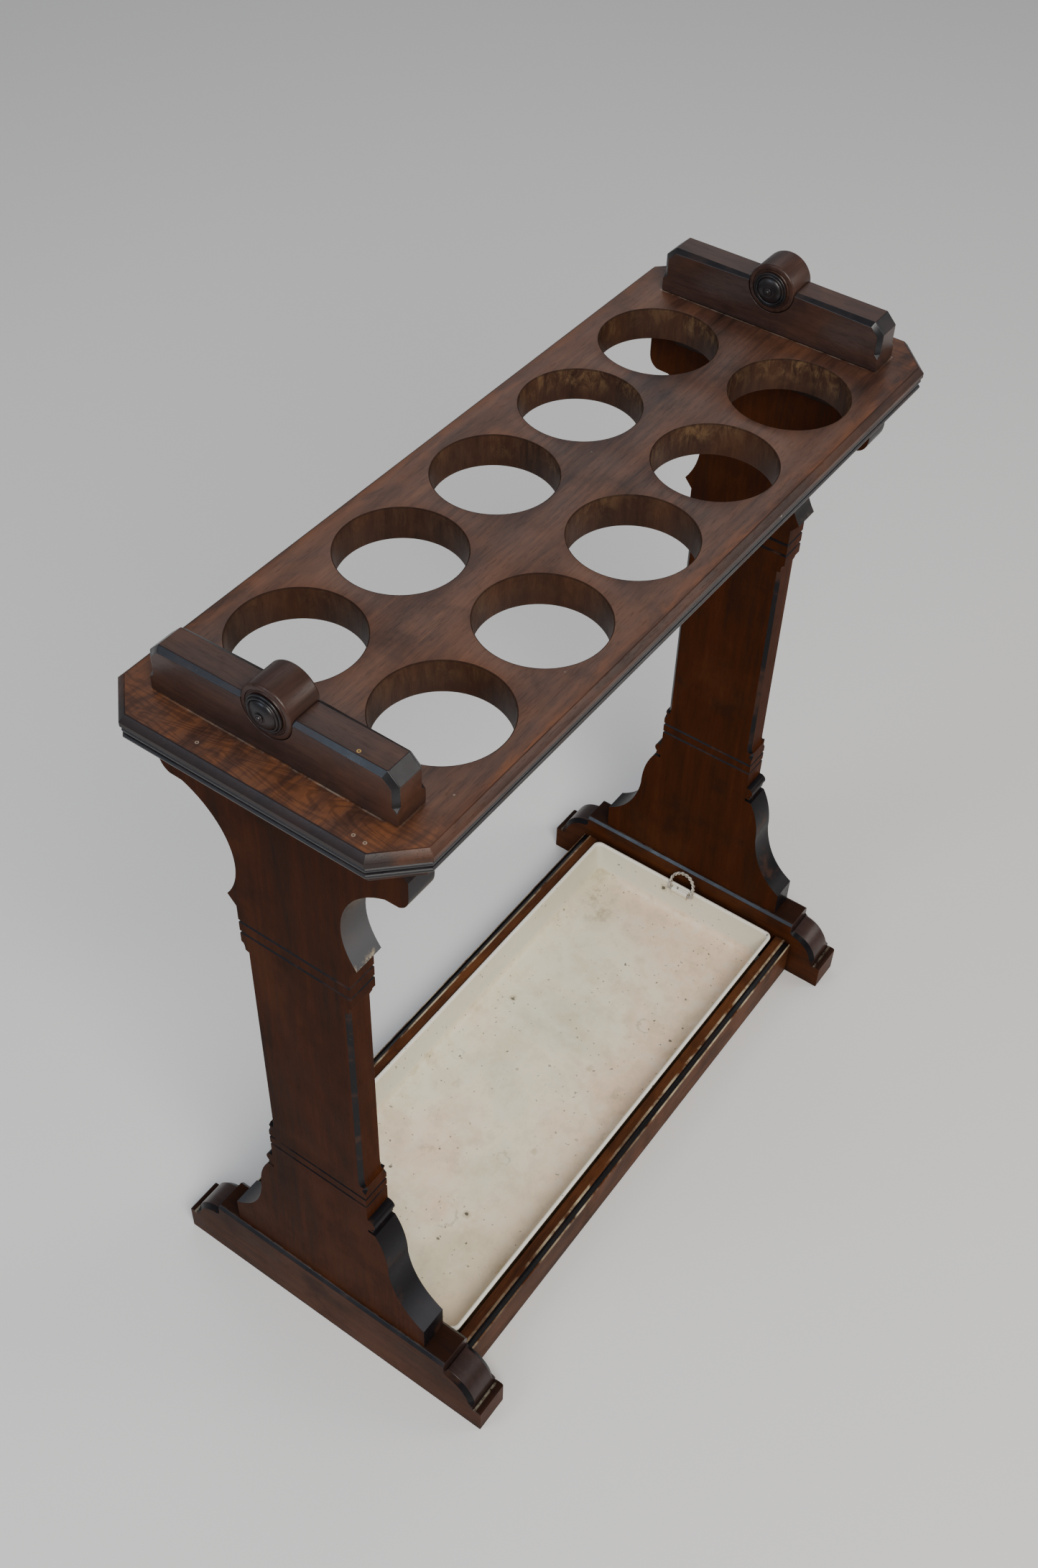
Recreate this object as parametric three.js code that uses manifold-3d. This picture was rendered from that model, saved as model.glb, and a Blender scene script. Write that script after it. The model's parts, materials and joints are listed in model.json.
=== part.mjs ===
// Stick and umbrella stand: a trestle of two shaped ends, a ten-hole top board and a lift-out drip tray.
// Millimetres. +X runs along the length, +Y to the back, +Z up.
// The origin is on the floor, midway between the feet.

import * as THREE from 'three';
import { mergeVertices } from 'three/addons/utils/BufferGeometryUtils.js';
import Module from 'manifold-3d';

const wasm = await Module();
wasm.setup();

// ---------------------------------------------------------------- driving dimensions

const gap = 0.3;                  // between faces that meet
const over = 4;                   // how far a cutter runs past the face it cuts

// stick holes
const holeDiameter = 86;
const holesPerRow = 5;
const holeWeb = 14;               // wood left between neighbours in a row
const rowWeb = 23;                // wood left between the two rows
const holeToEnd = 30;             // from the last hole's edge to the middle of the end
const holeToSide = 18.5;          // from a hole's edge to the side of the board

// top board
const boardOverhang = 41;         // past the middle of the end
const boardThickness = 25.4;
const boardClip = 26.5;
const boardChamfer = 4;
const boardFaceHeight = 8;
const boardBead = 4;
const boardBeadInset = 0.8;
const boardBeadGap = 1;
const boardGrooveDepth = 2.4;
const boardFootInset = 6.3;

// feet
const footLength = 307;
const footThickness = 31;
const footHeight = 66;
const footLedgeHeight = 27.5;
const footLedgeLength = 7;
const footRollLength = 29.5;
const footRollHeight = 29;
const footRollGroove = 1;         // between the roll and the ledge
const footRollChamfer = 4;
const footArris = 3;

// end supports, heights from the foot upwards
const supportThickness = 24;
const supportHeight = 576;
const toeSetback = 21;            // toe inside the flat of the foot
const toeHeight = 25.5;
const hollowHalf = 63.5;
const hollowTop = 81;
const hollowDraw = 5;             // how far the hollow's curve is drawn out
const hollowRise = 16;
const bellyHalf = 52.5;
const bellyTop = 126;
const bellyDraw = 18;
const filletBottom = 129.5;
const filletHalf = 50.6;
const beadBottom = 132;
const beadHeight = 11;
const beadHalf = 52.5;
const neckHalf = 46;
const columnHalf = 43.2;
const lowerNeckTop = 186;
const neckCove = 7;
const lowerGrooveHeights = [161, 171];

// end supports, distances down from the top
const upperNeckBottomBelow = 174;
const upperGroovesBelow = [164, 153];
const upperNeckTopBelow = 138.5;
const cuspHalf = 52;
const cuspBelow = 131;
const archCentreBelow = 97;
const archCentreHalf = 100;
const archRadius = 58;
const archTipHalf = 78;
const capTipHalf = 88;
const capTipBelow = 43;
const capHalf = 95.5;
const capRoundTopBelow = 30;
const capRoundSag = 3;
const capTopBelow = 17;
const capNeckHalf = 92;
const capNeckBelow = 14;
const columnChamfer = 3;
const columnChamferStop = 3;      // from the neck's cove to the end of the chamfer
const neckGroove = 2.4;
const neckGrooveDepth = 1.2;

// crest bars and their turned roundels
const crestLength = 180;
const crestHeight = 36;
const crestThickness = 25;
const crestEndClip = 8;
const crestChamfer = 3.4;
const crestCornerChamferHeight = 24;
const roundelDiameter = 37;
const roundelProud = 0.5;         // past each face of the crest bar
const roundelAbove = 33.5;        // axis above the foot of the crest bar
const bossDiameter = 26;
const bossRingHeight = 1.8;
const bossStep = 1.4;
const bossDomeInset = 3;
const bossDomeBase = 2.4;
const bossDomeRise = 2.6;
const bossCollarDiameter = 5.6;
const bossCollarTop = 5.8;
const bossTipDiameter = 3;
const bossRise = 7;
const bossSpigotDiameter = 10;
const bossSpigotLength = 8;
const socketClearance = 1;        // beyond the end of a dowel, spigot or tenon

// rails
const railThickness = 16;
const railHeight = 40.5;
const railFloorClearance = 1.5;
const railSetback = 34;           // from the end of the foot to the rail's outer face
const railGrooveWidth = 5;
const railGrooveDepth = 3;
const railGrooveTaper = 1;
const railBead = 1.2;
const railOuterDrop = 1.6;
const tenonLength = 12;
const tenonShoulder = 8;          // rail left above and below the tenon
const tenonThickness = 8;

// tray bed
const ledgerWidth = 12;
const ledgerHeight = 6;
const ledgerSetback = 17.5;       // short of the foot
const slatThickness = 5;
const slatWidth = 62;
const slatCount = 5;

// drip tray
const trayEndClearance = 3.5;
const traySideClearance = 1.5;
const trayDepth = 33;
const trayFlare = 10;
const trayWall = 1.6;
const trayCorner = 4;
const trayRimWidth = 2.8;
const trayRimHeight = 2.4;

// ring handles
const ringWire = 3;
const ringHalfWidth = 12.4;
const ringLeg = 9;
const ringPivotDrop = 4.5;        // pivot below the top of the rim
const ringBearingClearance = 0.3;
const lugSideClearance = 2.4;
const lugWall = 1.2;
const lugFootAbove = 4;
const lugFootBelow = 7;

// joinery
const dowelDiameter = 10;
const dowelInFoot = 22;
const dowelInSupport = 26;
const dowelInBoard = 14;
const footDowelSpacing = 60;
const boardDowelSpacing = 70;
const screwHeadDiameter = 9;
const screwHeadHeight = 4;
const screwShankDiameter = 4.6;
const screwPoint = 4;
const screwInCrest = 20;
const screwSpacing = 140;
const blockLeg = 15;
const blockLength = 52;
const blockSpacing = 92;

// ---------------------------------------------------------------- levels and faces worked out from them

const holePitch = holeDiameter + holeWeb;
const holeRowSpacing = holeDiameter + rowWeb;
const endCentre = (holesPerRow - 1) / 2 * holePitch + holeDiameter / 2 + holeToEnd;
const boardLength = 2 * (endCentre + boardOverhang);
const boardWidth = holeRowSpacing + holeDiameter + 2 * holeToSide;
const supportBase = footHeight + gap;
const boardBottom = supportBase + supportHeight + gap;
const boardTop = boardBottom + boardThickness;
const crestBase = boardTop + gap;
const roundelAxis = crestBase + roundelAbove;
const roundelLength = crestThickness + 2 * roundelProud;
const footFlatHalf = footLength / 2 - footLedgeLength - footRollLength;
const footInner = endCentre - footThickness / 2;
const supportInner = endCentre - supportThickness / 2;
const toeHalf = footFlatHalf - toeSetback;
const railOuterHalf = footLength / 2 - railSetback;
const railInnerHalf = railOuterHalf - railThickness;
const railTop = railFloorClearance + railHeight;
const tenonHeight = railHeight - 2 * tenonShoulder;
const ledgerLength = 2 * (footInner - ledgerSetback);
const ledgerBase = railFloorClearance + gap;
const slatBase = ledgerBase + ledgerHeight + gap;
const trayLength = 2 * (footInner - trayEndClearance);
const trayWidth = 2 * (railInnerHalf - traySideClearance);
const trayBase = slatBase + slatThickness + gap;
const trayTop = trayBase + trayDepth;
const traySlope = Math.atan(trayFlare / (trayDepth - trayWall));
const lugWidth = 2 * (ringHalfWidth - lugSideClearance) - ringWire;
const ringToWall = ringWire / 2 + ringBearingClearance;
const pivotToRim = ringPivotDrop * Math.tan(traySlope) + ringToWall / Math.cos(traySlope);
const ringPivotX = trayLength / 2 - trayRimWidth - pivotToRim;
const ringPivotZ = trayTop - ringPivotDrop;
const ringLean = Math.atan2(pivotToRim, ringPivotDrop)
  - Math.asin((ringWire / 2 + gap) / Math.hypot(pivotToRim, ringPivotDrop));
const screwLength = boardThickness + screwInCrest;

// ---------------------------------------------------------------- finishes

function finish(color, roughness, metalness) {
  return () => new THREE.MeshStandardMaterial({ color, roughness, metalness });
}

const walnut = finish(0x4b3026, 0.42, 0);
const darkWalnut = finish(0x35231d, 0.4, 0);
const ebonised = finish(0x1b1a1d, 0.3, 0);
const deal = finish(0x8d6a45, 0.75, 0);
const enamel = finish(0xd5ccbb, 0.45, 0);
const tin = finish(0xa9a49a, 0.4, 0.8);
const steel = finish(0x6f6a63, 0.45, 0.9);

// ---------------------------------------------------------------- solid helpers

function toSolid(geometry, place = new THREE.Matrix4()) {
  const bare = geometry.index ? geometry.toNonIndexed() : geometry.clone();
  bare.applyMatrix4(place);
  bare.deleteAttribute('normal');
  bare.deleteAttribute('uv');
  const merged = mergeVertices(bare, 1e-4);
  return new wasm.Manifold(new wasm.Mesh({
    numProp: 3,
    vertProperties: new Float32Array(merged.attributes.position.array),
    triVerts: new Uint32Array(merged.index.array),
  }));
}

function toGeometry(solid) {
  const mesh = solid.getMesh();
  const geometry = new THREE.BufferGeometry();
  geometry.setAttribute('position', new THREE.BufferAttribute(new Float32Array(mesh.vertProperties), 3));
  geometry.setIndex(new THREE.BufferAttribute(new Uint32Array(mesh.triVerts), 1));
  geometry.computeVertexNormals();
  return geometry;
}

function at(x, y, z, turnX = 0, turnY = 0, turnZ = 0) {
  const matrix = new THREE.Matrix4().makeRotationFromEuler(new THREE.Euler(turnX, turnY, turnZ));
  return matrix.setPosition(x, y, z);
}

function box(width, depth, height, x, y, z) {
  return toSolid(new THREE.BoxGeometry(width, depth, height), at(x, y, z));
}

function extruded(shape, depth, place, curveSegments = 12) {
  return toSolid(new THREE.ExtrudeGeometry(shape, { depth, bevelEnabled: false, curveSegments }), place);
}

function upright(diameter, height, x, y, z, segments = 32) {
  const geometry = new THREE.CylinderGeometry(diameter / 2, diameter / 2, height, segments);
  return toSolid(geometry, at(x, y, z + height / 2, Math.PI / 2, 0, 0));
}

function turned(profile, place, segments = 40) {
  const points = profile.map(([radius, height]) => new THREE.Vector2(radius, height));
  return toSolid(new THREE.LatheGeometry([...points, points[0]], segments), place);
}

function outline(points) {
  const shape = new THREE.Shape();
  shape.moveTo(...points[0]);
  points.slice(1).forEach((point) => shape.lineTo(...point));
  return shape;
}

// A drawing in the Y-Z plane pulled along X, centred on x.
function acrossX(shape, thickness, x, curveSegments = 12) {
  const place = new THREE.Matrix4().makeBasis(
    new THREE.Vector3(0, 1, 0),
    new THREE.Vector3(0, 0, 1),
    new THREE.Vector3(1, 0, 0),
  );
  place.setPosition(x - thickness / 2, 0, 0);
  return extruded(shape, thickness, place, curveSegments);
}

// A square bar turned on edge: cuts a chamfer of the given width along an arris.
function arrisCutter(axis, width, length, x, y, z) {
  const side = width * Math.SQRT2;
  const quarter = Math.PI / 4;
  if (axis === 'x') {
    return toSolid(new THREE.BoxGeometry(length, side, side), at(x, y, z, quarter, 0, 0));
  }
  if (axis === 'y') {
    return toSolid(new THREE.BoxGeometry(side, length, side), at(x, y, z, 0, quarter, 0));
  }
  return toSolid(new THREE.BoxGeometry(side, side, length), at(x, y, z, 0, 0, quarter));
}

function joined(first, ...rest) {
  return rest.reduce((whole, piece) => whole.add(piece), first);
}

function cut(whole, ...tools) {
  return tools.reduce((left, tool) => left.subtract(tool), whole);
}

const group = new THREE.Group();

function addPiece(name, solid, material) {
  const mesh = new THREE.Mesh(toGeometry(solid), material());
  mesh.name = name;
  group.add(mesh);
  return mesh;
}

// The socket for a dowel: it opens on a level face and runs up (way 1) or down (way -1) from it.
function dowelSocket(x, y, face, depth, way) {
  const length = depth + socketClearance + over;
  const middle = face + way * (length / 2 - over);
  return upright(dowelDiameter + 2 * gap, length, x, y, middle - length / 2, 20);
}

const ends = [{ name: 'left', side: -1 }, { name: 'right', side: 1 }];
const sides = [{ name: 'front', side: -1 }, { name: 'back', side: 1 }];

// ---------------------------------------------------------------- feet

const rollReach = footRollLength - footRollGroove;
const rollSides = 40;             // of a full turn

function footShape() {
  const half = footLength / 2;
  const ledge = half - footLedgeLength;
  const rollTop = footLedgeHeight + footRollHeight;
  const shape = new THREE.Shape();
  shape.moveTo(-half, 0);
  shape.lineTo(half, 0);
  shape.lineTo(half, footLedgeHeight - footArris / 2);
  shape.lineTo(half - footArris / 2, footLedgeHeight);
  shape.lineTo(ledge, footLedgeHeight);
  shape.absellipse(footFlatHalf, footLedgeHeight, rollReach, footRollHeight, 0, Math.PI / 2, false, 0);
  shape.lineTo(footFlatHalf, rollTop);
  shape.lineTo(footFlatHalf, footHeight);
  shape.lineTo(-footFlatHalf, footHeight);
  shape.lineTo(-footFlatHalf, rollTop);
  shape.absellipse(
    -footFlatHalf, footLedgeHeight, rollReach, footRollHeight, Math.PI / 2, Math.PI, false, 0,
  );
  shape.lineTo(-ledge, footLedgeHeight);
  shape.lineTo(-half + footArris / 2, footLedgeHeight);
  shape.lineTo(-half, footLedgeHeight - footArris / 2);
  shape.closePath();
  return shape;
}

// The chamfer along the side of a rounded end: a disc less the cone that the end keeps.
function rollChamfer(x, face, side) {
  const depth = footRollChamfer + over;
  const rim = rollReach + 2 * over;
  const cone = new THREE.CylinderGeometry(rollReach - footRollChamfer, rollReach + over, depth, rollSides);
  const disc = new THREE.CylinderGeometry(rim, rim, depth, rollSides);
  const faceX = x + face * footThickness / 2;
  const place = new THREE.Matrix4().makeScale(1, 1, footRollHeight / rollReach);
  place.setPosition(faceX - face * (footRollChamfer - over) / 2, side * footFlatHalf, footLedgeHeight);
  place.multiply(new THREE.Matrix4().makeRotationZ(-face * Math.PI / 2));
  const keep = box(
    footThickness,
    footRollLength,
    footRollHeight,
    faceX,
    side * (footFlatHalf + footRollLength / 2 + over),
    footLedgeHeight + footRollHeight / 2 + footArris,
  );
  return toSolid(disc, place).subtract(toSolid(cone, place)).intersect(keep);
}

function mortice(end, side) {
  const depth = tenonLength + socketClearance + over;
  return box(
    depth,
    tenonThickness + 2 * gap,
    tenonHeight + 2 * gap,
    end.side * (footInner - over + depth / 2),
    side.side * (railOuterHalf - railThickness / 2),
    railFloorClearance + railHeight / 2,
  );
}

function makeFoot(end) {
  const x = end.side * endCentre;
  let solid = acrossX(footShape(), footThickness, x, 9);
  for (const face of [-1, 1]) {
    const edge = x + face * footThickness / 2;
    solid = cut(solid, arrisCutter('y', footArris, 2 * (footFlatHalf - gap), edge, 0, footHeight));
    solid = cut(solid, rollChamfer(x, face, -1), rollChamfer(x, face, 1));
  }
  for (const side of sides) {
    const socket = dowelSocket(x, side.side * footDowelSpacing / 2, footHeight, dowelInFoot, -1);
    solid = cut(solid, socket, mortice(end, side));
  }
  addPiece(`foot_${end.name}`, solid, darkWalnut);
}

// ---------------------------------------------------------------- end supports

const down = (distance) => supportHeight - distance;

// The right half of the outline, from the middle of the base round to the middle of the top.
function supportHalfShape() {
  const arch = down(archCentreBelow);
  const archTip = arch + Math.sqrt(archRadius ** 2 - (archCentreHalf - archTipHalf) ** 2);
  const cuspAngle = Math.atan2(down(cuspBelow) - arch, cuspHalf - archCentreHalf);
  const tipAngle = Math.atan2(archTip - arch, archTipHalf - archCentreHalf);
  const beadRadius = beadHeight / 2;
  const neckBottom = down(upperNeckBottomBelow);
  const capTip = down(capTipBelow);
  const shape = new THREE.Shape();
  shape.moveTo(0, 0);
  shape.lineTo(toeHalf, 0);
  shape.lineTo(toeHalf, toeHeight);
  shape.quadraticCurveTo(hollowHalf + hollowDraw, toeHeight + hollowRise, hollowHalf, hollowTop);
  shape.quadraticCurveTo(hollowHalf, bellyTop - bellyDraw, bellyHalf, bellyTop);
  shape.lineTo(neckHalf, bellyTop);
  shape.lineTo(neckHalf, filletBottom);
  shape.lineTo(filletHalf, filletBottom);
  shape.lineTo(filletHalf, beadBottom);
  shape.absarc(
    beadHalf - beadRadius, beadBottom + beadRadius, beadRadius, -Math.PI / 2, Math.PI / 2, false,
  );
  shape.lineTo(neckHalf, beadBottom + beadHeight);
  shape.lineTo(neckHalf, lowerNeckTop);
  shape.quadraticCurveTo(columnHalf, lowerNeckTop, columnHalf, lowerNeckTop + neckCove);
  shape.lineTo(columnHalf, neckBottom - neckCove);
  shape.quadraticCurveTo(columnHalf, neckBottom, neckHalf, neckBottom);
  shape.lineTo(neckHalf, down(upperNeckTopBelow));
  shape.lineTo(cuspHalf, down(cuspBelow));
  shape.absarc(archCentreHalf, arch, archRadius, cuspAngle, tipAngle, true);
  shape.lineTo(capTipHalf, capTip);
  shape.quadraticCurveTo(capHalf, capTip + capRoundSag, capHalf, down(capRoundTopBelow));
  shape.lineTo(capHalf, down(capTopBelow));
  shape.lineTo(capNeckHalf, down(capNeckBelow));
  shape.lineTo(capNeckHalf, supportHeight);
  return shape;
}

function supportShape() {
  const half = supportHalfShape().getPoints(9).slice(1).map((point) => [point.x, point.y]);
  const mirrored = half.map(([y, z]) => [-y, z]).reverse();
  return outline([...half, ...mirrored]);
}

// A groove of V section cut into all four faces of the upright at one height.
function neckGrooveCutter(x, z) {
  const slab = (inset, height) => box(
    supportThickness + 2 * over - 2 * inset,
    2 * neckHalf + 2 * over - 2 * inset,
    height,
    x,
    0,
    z,
  );
  const middle = slab(over + neckGrooveDepth, neckGroove + 2 * over);
  return slab(0, neckGroove).subtract(middle);
}

function makeSupport(end) {
  const x = end.side * endCentre;
  let solid = acrossX(supportShape(), supportThickness, x);
  for (const z of [...lowerGrooveHeights, ...upperGroovesBelow.map(down)]) {
    solid = cut(solid, neckGrooveCutter(x, z));
  }
  const chamferBottom = lowerNeckTop + columnChamferStop;
  const chamferLength = down(upperNeckBottomBelow) - columnChamferStop - chamferBottom;
  for (const face of [-1, 1]) {
    for (const side of [-1, 1]) {
      const faceX = x + face * supportThickness / 2;
      const z = chamferBottom + chamferLength / 2;
      solid = cut(solid, arrisCutter('z', columnChamfer, chamferLength, faceX, side * columnHalf, z));
    }
  }
  for (const side of [-1, 1]) {
    solid = cut(
      solid,
      dowelSocket(x, side * footDowelSpacing / 2, 0, dowelInSupport, 1),
      dowelSocket(x, side * boardDowelSpacing / 2, supportHeight, dowelInSupport, -1),
    );
  }
  const mesh = addPiece(`end_support_${end.name}`, solid, walnut);
  mesh.position.z = supportBase;
}

// ---------------------------------------------------------------- top board

const holeSides = 40;

function clippedRectangle(length, width, clip) {
  const x = length / 2;
  const y = width / 2;
  return outline([
    [-x + clip, -y], [x - clip, -y], [x, -y + clip], [x, y - clip],
    [x - clip, y], [-x + clip, y], [-x, y - clip], [-x, -y + clip],
  ]);
}

// A slab with its outline drawn in by inset and its edge rounded or chamfered by bevel.
function boardSlab(inset, bottom, height, bevel, segments) {
  const shape = clippedRectangle(boardLength, boardWidth, boardClip);
  const geometry = new THREE.ExtrudeGeometry(shape, {
    depth: height - 2 * bevel,
    bevelEnabled: true,
    bevelThickness: bevel,
    bevelSize: bevel,
    bevelOffset: -bevel - inset,
    bevelSegments: segments,
  });
  return toSolid(geometry, at(0, 0, bottom + bevel));
}

function holeCentres() {
  const centres = [];
  for (let i = 0; i < holesPerRow; i += 1) {
    for (const side of [-1, 1]) {
      centres.push([(i - (holesPerRow - 1) / 2) * holePitch, side * holeRowSpacing / 2]);
    }
  }
  return centres;
}

// The countersunk hole for a crest screw, bored up from below the board.
function crestScrewHole(end, side) {
  const radius = screwShankDiameter / 2 + gap;
  const head = screwHeadDiameter / 2 + gap;
  const top = screwLength + socketClearance;
  const profile = [
    [0, -over], [head, -over], [head, gap], [radius, screwHeadHeight + gap], [radius, top], [0, top],
  ];
  return turned(profile, at(end.side * endCentre, side.side * screwSpacing / 2, 0, Math.PI / 2, 0, 0), 16);
}

function makeTopBoard() {
  const face = boardSlab(0, boardThickness - 2 * boardFaceHeight, 2 * boardFaceHeight, boardChamfer, 1);
  const faceBottom = boardThickness - boardFaceHeight;
  const faceMiddle = faceBottom + boardFaceHeight / 2;
  const faceKeep = box(boardLength + over, boardWidth + over, boardFaceHeight, 0, 0, faceMiddle);
  const firstBead = faceBottom - boardBeadGap - boardBead;
  const secondBead = firstBead - boardBeadGap - boardBead;
  const beadRound = boardBead / 2 - gap / 2;
  let solid = joined(
    face.intersect(faceKeep),
    boardSlab(boardGrooveDepth, secondBead, boardThickness - secondBead - gap, gap, 1),
    boardSlab(boardBeadInset, firstBead, boardBead, beadRound, 2),
    boardSlab(boardBeadInset, secondBead, boardBead, beadRound, 2),
    boardSlab(boardFootInset, 0, secondBead + boardBeadGap, gap, 1),
  );
  for (const [x, y] of holeCentres()) {
    solid = cut(solid, upright(holeDiameter, boardThickness + 2 * over, x, y, -over, holeSides));
  }
  for (const end of ends) {
    for (const side of sides) {
      const y = side.side * boardDowelSpacing / 2;
      solid = cut(solid, dowelSocket(end.side * endCentre, y, 0, dowelInBoard, 1), crestScrewHole(end, side));
    }
  }
  const mesh = addPiece('top_board', solid, walnut);
  mesh.position.z = boardBottom;
}

// ---------------------------------------------------------------- crest bars, roundels and bosses

function crestShape() {
  const half = crestLength / 2;
  return outline([
    [-half, 0], [half, 0], [half, crestHeight - crestEndClip], [half - crestEndClip, crestHeight],
    [-half + crestEndClip, crestHeight], [-half, crestHeight - crestEndClip],
  ]);
}

function alongX(diameter, length, x, z, segments = 40) {
  const geometry = new THREE.CylinderGeometry(diameter / 2, diameter / 2, length, segments);
  return toSolid(geometry, at(x, 0, z, 0, 0, Math.PI / 2));
}

function makeCrest(end) {
  const x = end.side * endCentre;
  const half = crestLength / 2;
  let solid = acrossX(crestShape(), crestThickness, x);
  for (const face of [-1, 1]) {
    const faceX = x + face * crestThickness / 2;
    const top = crestLength - 2 * crestEndClip;
    solid = cut(solid, arrisCutter('y', crestChamfer, top, faceX, 0, crestHeight));
    for (const side of [-1, 1]) {
      const z = crestHeight - crestCornerChamferHeight / 2;
      solid = cut(solid, arrisCutter('z', crestChamfer, crestCornerChamferHeight, faceX, side * half, z));
    }
  }
  solid = cut(solid, alongX(roundelDiameter + 2 * gap, crestThickness + 2 * over, x, roundelAbove));
  for (const side of sides) {
    solid = cut(solid, crestScrewHole(end, side).translate([0, 0, boardBottom - crestBase]));
  }
  const mesh = addPiece(`crest_bar_${end.name}`, solid, walnut);
  mesh.position.z = crestBase;
}

function makeRoundel(end) {
  const x = end.side * endCentre;
  let solid = alongX(roundelDiameter, roundelLength, x, roundelAxis);
  for (const face of [-1, 1]) {
    const depth = bossSpigotLength + socketClearance;
    const socketX = x + face * (roundelLength / 2 - depth / 2 + over / 2);
    solid = cut(solid, alongX(bossSpigotDiameter + 2 * gap, depth + over, socketX, roundelAxis, 20));
  }
  addPiece(`crest_roundel_${end.name}`, solid, darkWalnut);
}

// Outline of a boss from its spigot to its tip: a flat ring, a step, a dome, a collar and a nipple.
function bossProfile() {
  const radius = bossDiameter / 2;
  const dome = radius - bossDomeInset;
  const points = [
    [0, -bossSpigotLength],
    [bossSpigotDiameter / 2, -bossSpigotLength],
    [bossSpigotDiameter / 2, gap],
    [radius, gap],
    [radius, bossRingHeight],
    [radius - bossStep, bossRingHeight],
    [radius - bossStep, bossDomeBase],
    [dome, bossDomeBase],
  ];
  const steps = 3;
  for (let i = 1; i <= steps; i += 1) {
    const angle = i * Math.PI / (2 * (steps + 1));
    points.push([dome * Math.cos(angle), bossDomeBase + bossDomeRise * Math.sin(angle)]);
  }
  points.push(
    [bossCollarDiameter / 2, bossDomeBase + bossDomeRise],
    [bossCollarDiameter / 2, bossCollarTop],
    [bossTipDiameter / 2, bossCollarTop],
    [bossTipDiameter / 2, bossRise],
    [0, bossRise],
  );
  return points;
}

function makeBoss(end, face, name) {
  const x = end.side * endCentre + face * roundelLength / 2;
  const solid = turned(bossProfile(), at(x, 0, roundelAxis, 0, 0, -face * Math.PI / 2), 24);
  addPiece(`roundel_boss_${end.name}_${name}`, solid, ebonised);
}

// ---------------------------------------------------------------- rails and tray bed

function railShape(side) {
  const across = (inwards) => side * (railOuterHalf - inwards);
  const lip = railTop - railOuterDrop;
  const grooveFloor = lip - railGrooveDepth;
  const grooveEnd = railBead + railGrooveWidth;
  return outline([
    [across(railThickness), railFloorClearance],
    [across(0), railFloorClearance],
    [across(0), lip],
    [across(railBead), lip],
    [across(railBead + railGrooveTaper), grooveFloor],
    [across(grooveEnd - railGrooveTaper), grooveFloor],
    [across(grooveEnd), railTop],
    [across(railThickness), railTop],
  ]);
}

function makeRail(side) {
  const length = 2 * (footInner - gap);
  const tenons = box(
    length + 2 * tenonLength,
    tenonThickness,
    tenonHeight,
    0,
    side.side * (railOuterHalf - railThickness / 2),
    railFloorClearance + railHeight / 2,
  );
  addPiece(`side_rail_${side.name}`, joined(acrossX(railShape(side.side), length, 0), tenons), walnut);
}

function makeLedger(side) {
  const y = side.side * (railInnerHalf - gap - ledgerWidth / 2);
  const solid = box(ledgerLength, ledgerWidth, ledgerHeight, 0, y, ledgerBase + ledgerHeight / 2);
  addPiece(`tray_ledger_${side.name}`, solid, deal);
}

function makeSlats() {
  const pitch = (ledgerLength - slatWidth) / (slatCount - 1);
  const length = 2 * (railInnerHalf - gap);
  for (let i = 0; i < slatCount; i += 1) {
    const x = (i - (slatCount - 1) / 2) * pitch;
    const solid = box(slatWidth, length, slatThickness, x, 0, slatBase + slatThickness / 2);
    addPiece(`tray_slat_${i + 1}`, solid, deal);
  }
}

// ---------------------------------------------------------------- drip tray

function roundedRectangle(length, width, radius) {
  const quarters = 4;
  const steps = 5;
  const points = [];
  for (let i = 0; i < quarters; i += 1) {
    const x = (i === 0 || i === 3 ? 1 : -1) * (length / 2 - radius);
    const y = (i < 2 ? 1 : -1) * (width / 2 - radius);
    for (let j = 0; j <= steps; j += 1) {
      const angle = (i + j / steps) * Math.PI / 2;
      points.push([x + radius * Math.cos(angle), y + radius * Math.sin(angle)]);
    }
  }
  return outline(points);
}

// A pan-shaped block with folded corners: flat below, flaring evenly up to its full size at the top.
function panBlock(length, width, bottom, height, flare) {
  const x = length / 2;
  const y = width / 2;
  const geometry = new THREE.ExtrudeGeometry(outline([[-x, -y], [x, -y], [x, y], [-x, y]]), {
    depth: over,
    bevelEnabled: true,
    bevelThickness: height,
    bevelSize: flare,
    bevelOffset: -flare,
    bevelSegments: 1,
  });
  const solid = toSolid(geometry, at(0, 0, bottom + height));
  return solid.trimByPlane([0, 0, -1], -(bottom + height));
}

function makeTray() {
  const lip = 2 * (trayRimWidth - trayWall);
  const outer = panBlock(trayLength - lip, trayWidth - lip, trayBase, trayDepth, trayFlare);
  const rimShape = roundedRectangle(trayLength, trayWidth, trayCorner);
  const rim = extruded(rimShape, trayRimHeight, at(0, 0, trayTop - trayRimHeight));
  const innerLength = trayLength - 2 * trayRimWidth;
  const innerWidth = trayWidth - 2 * trayRimWidth;
  const inner = panBlock(innerLength, innerWidth, trayBase + trayWall, trayDepth - trayWall, trayFlare);
  const mouth = box(innerLength, innerWidth, 2 * over, 0, 0, trayTop + over - gap / 10);
  addPiece('drip_tray', joined(outer, rim).subtract(inner).subtract(mouth), enamel);
}

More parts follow.
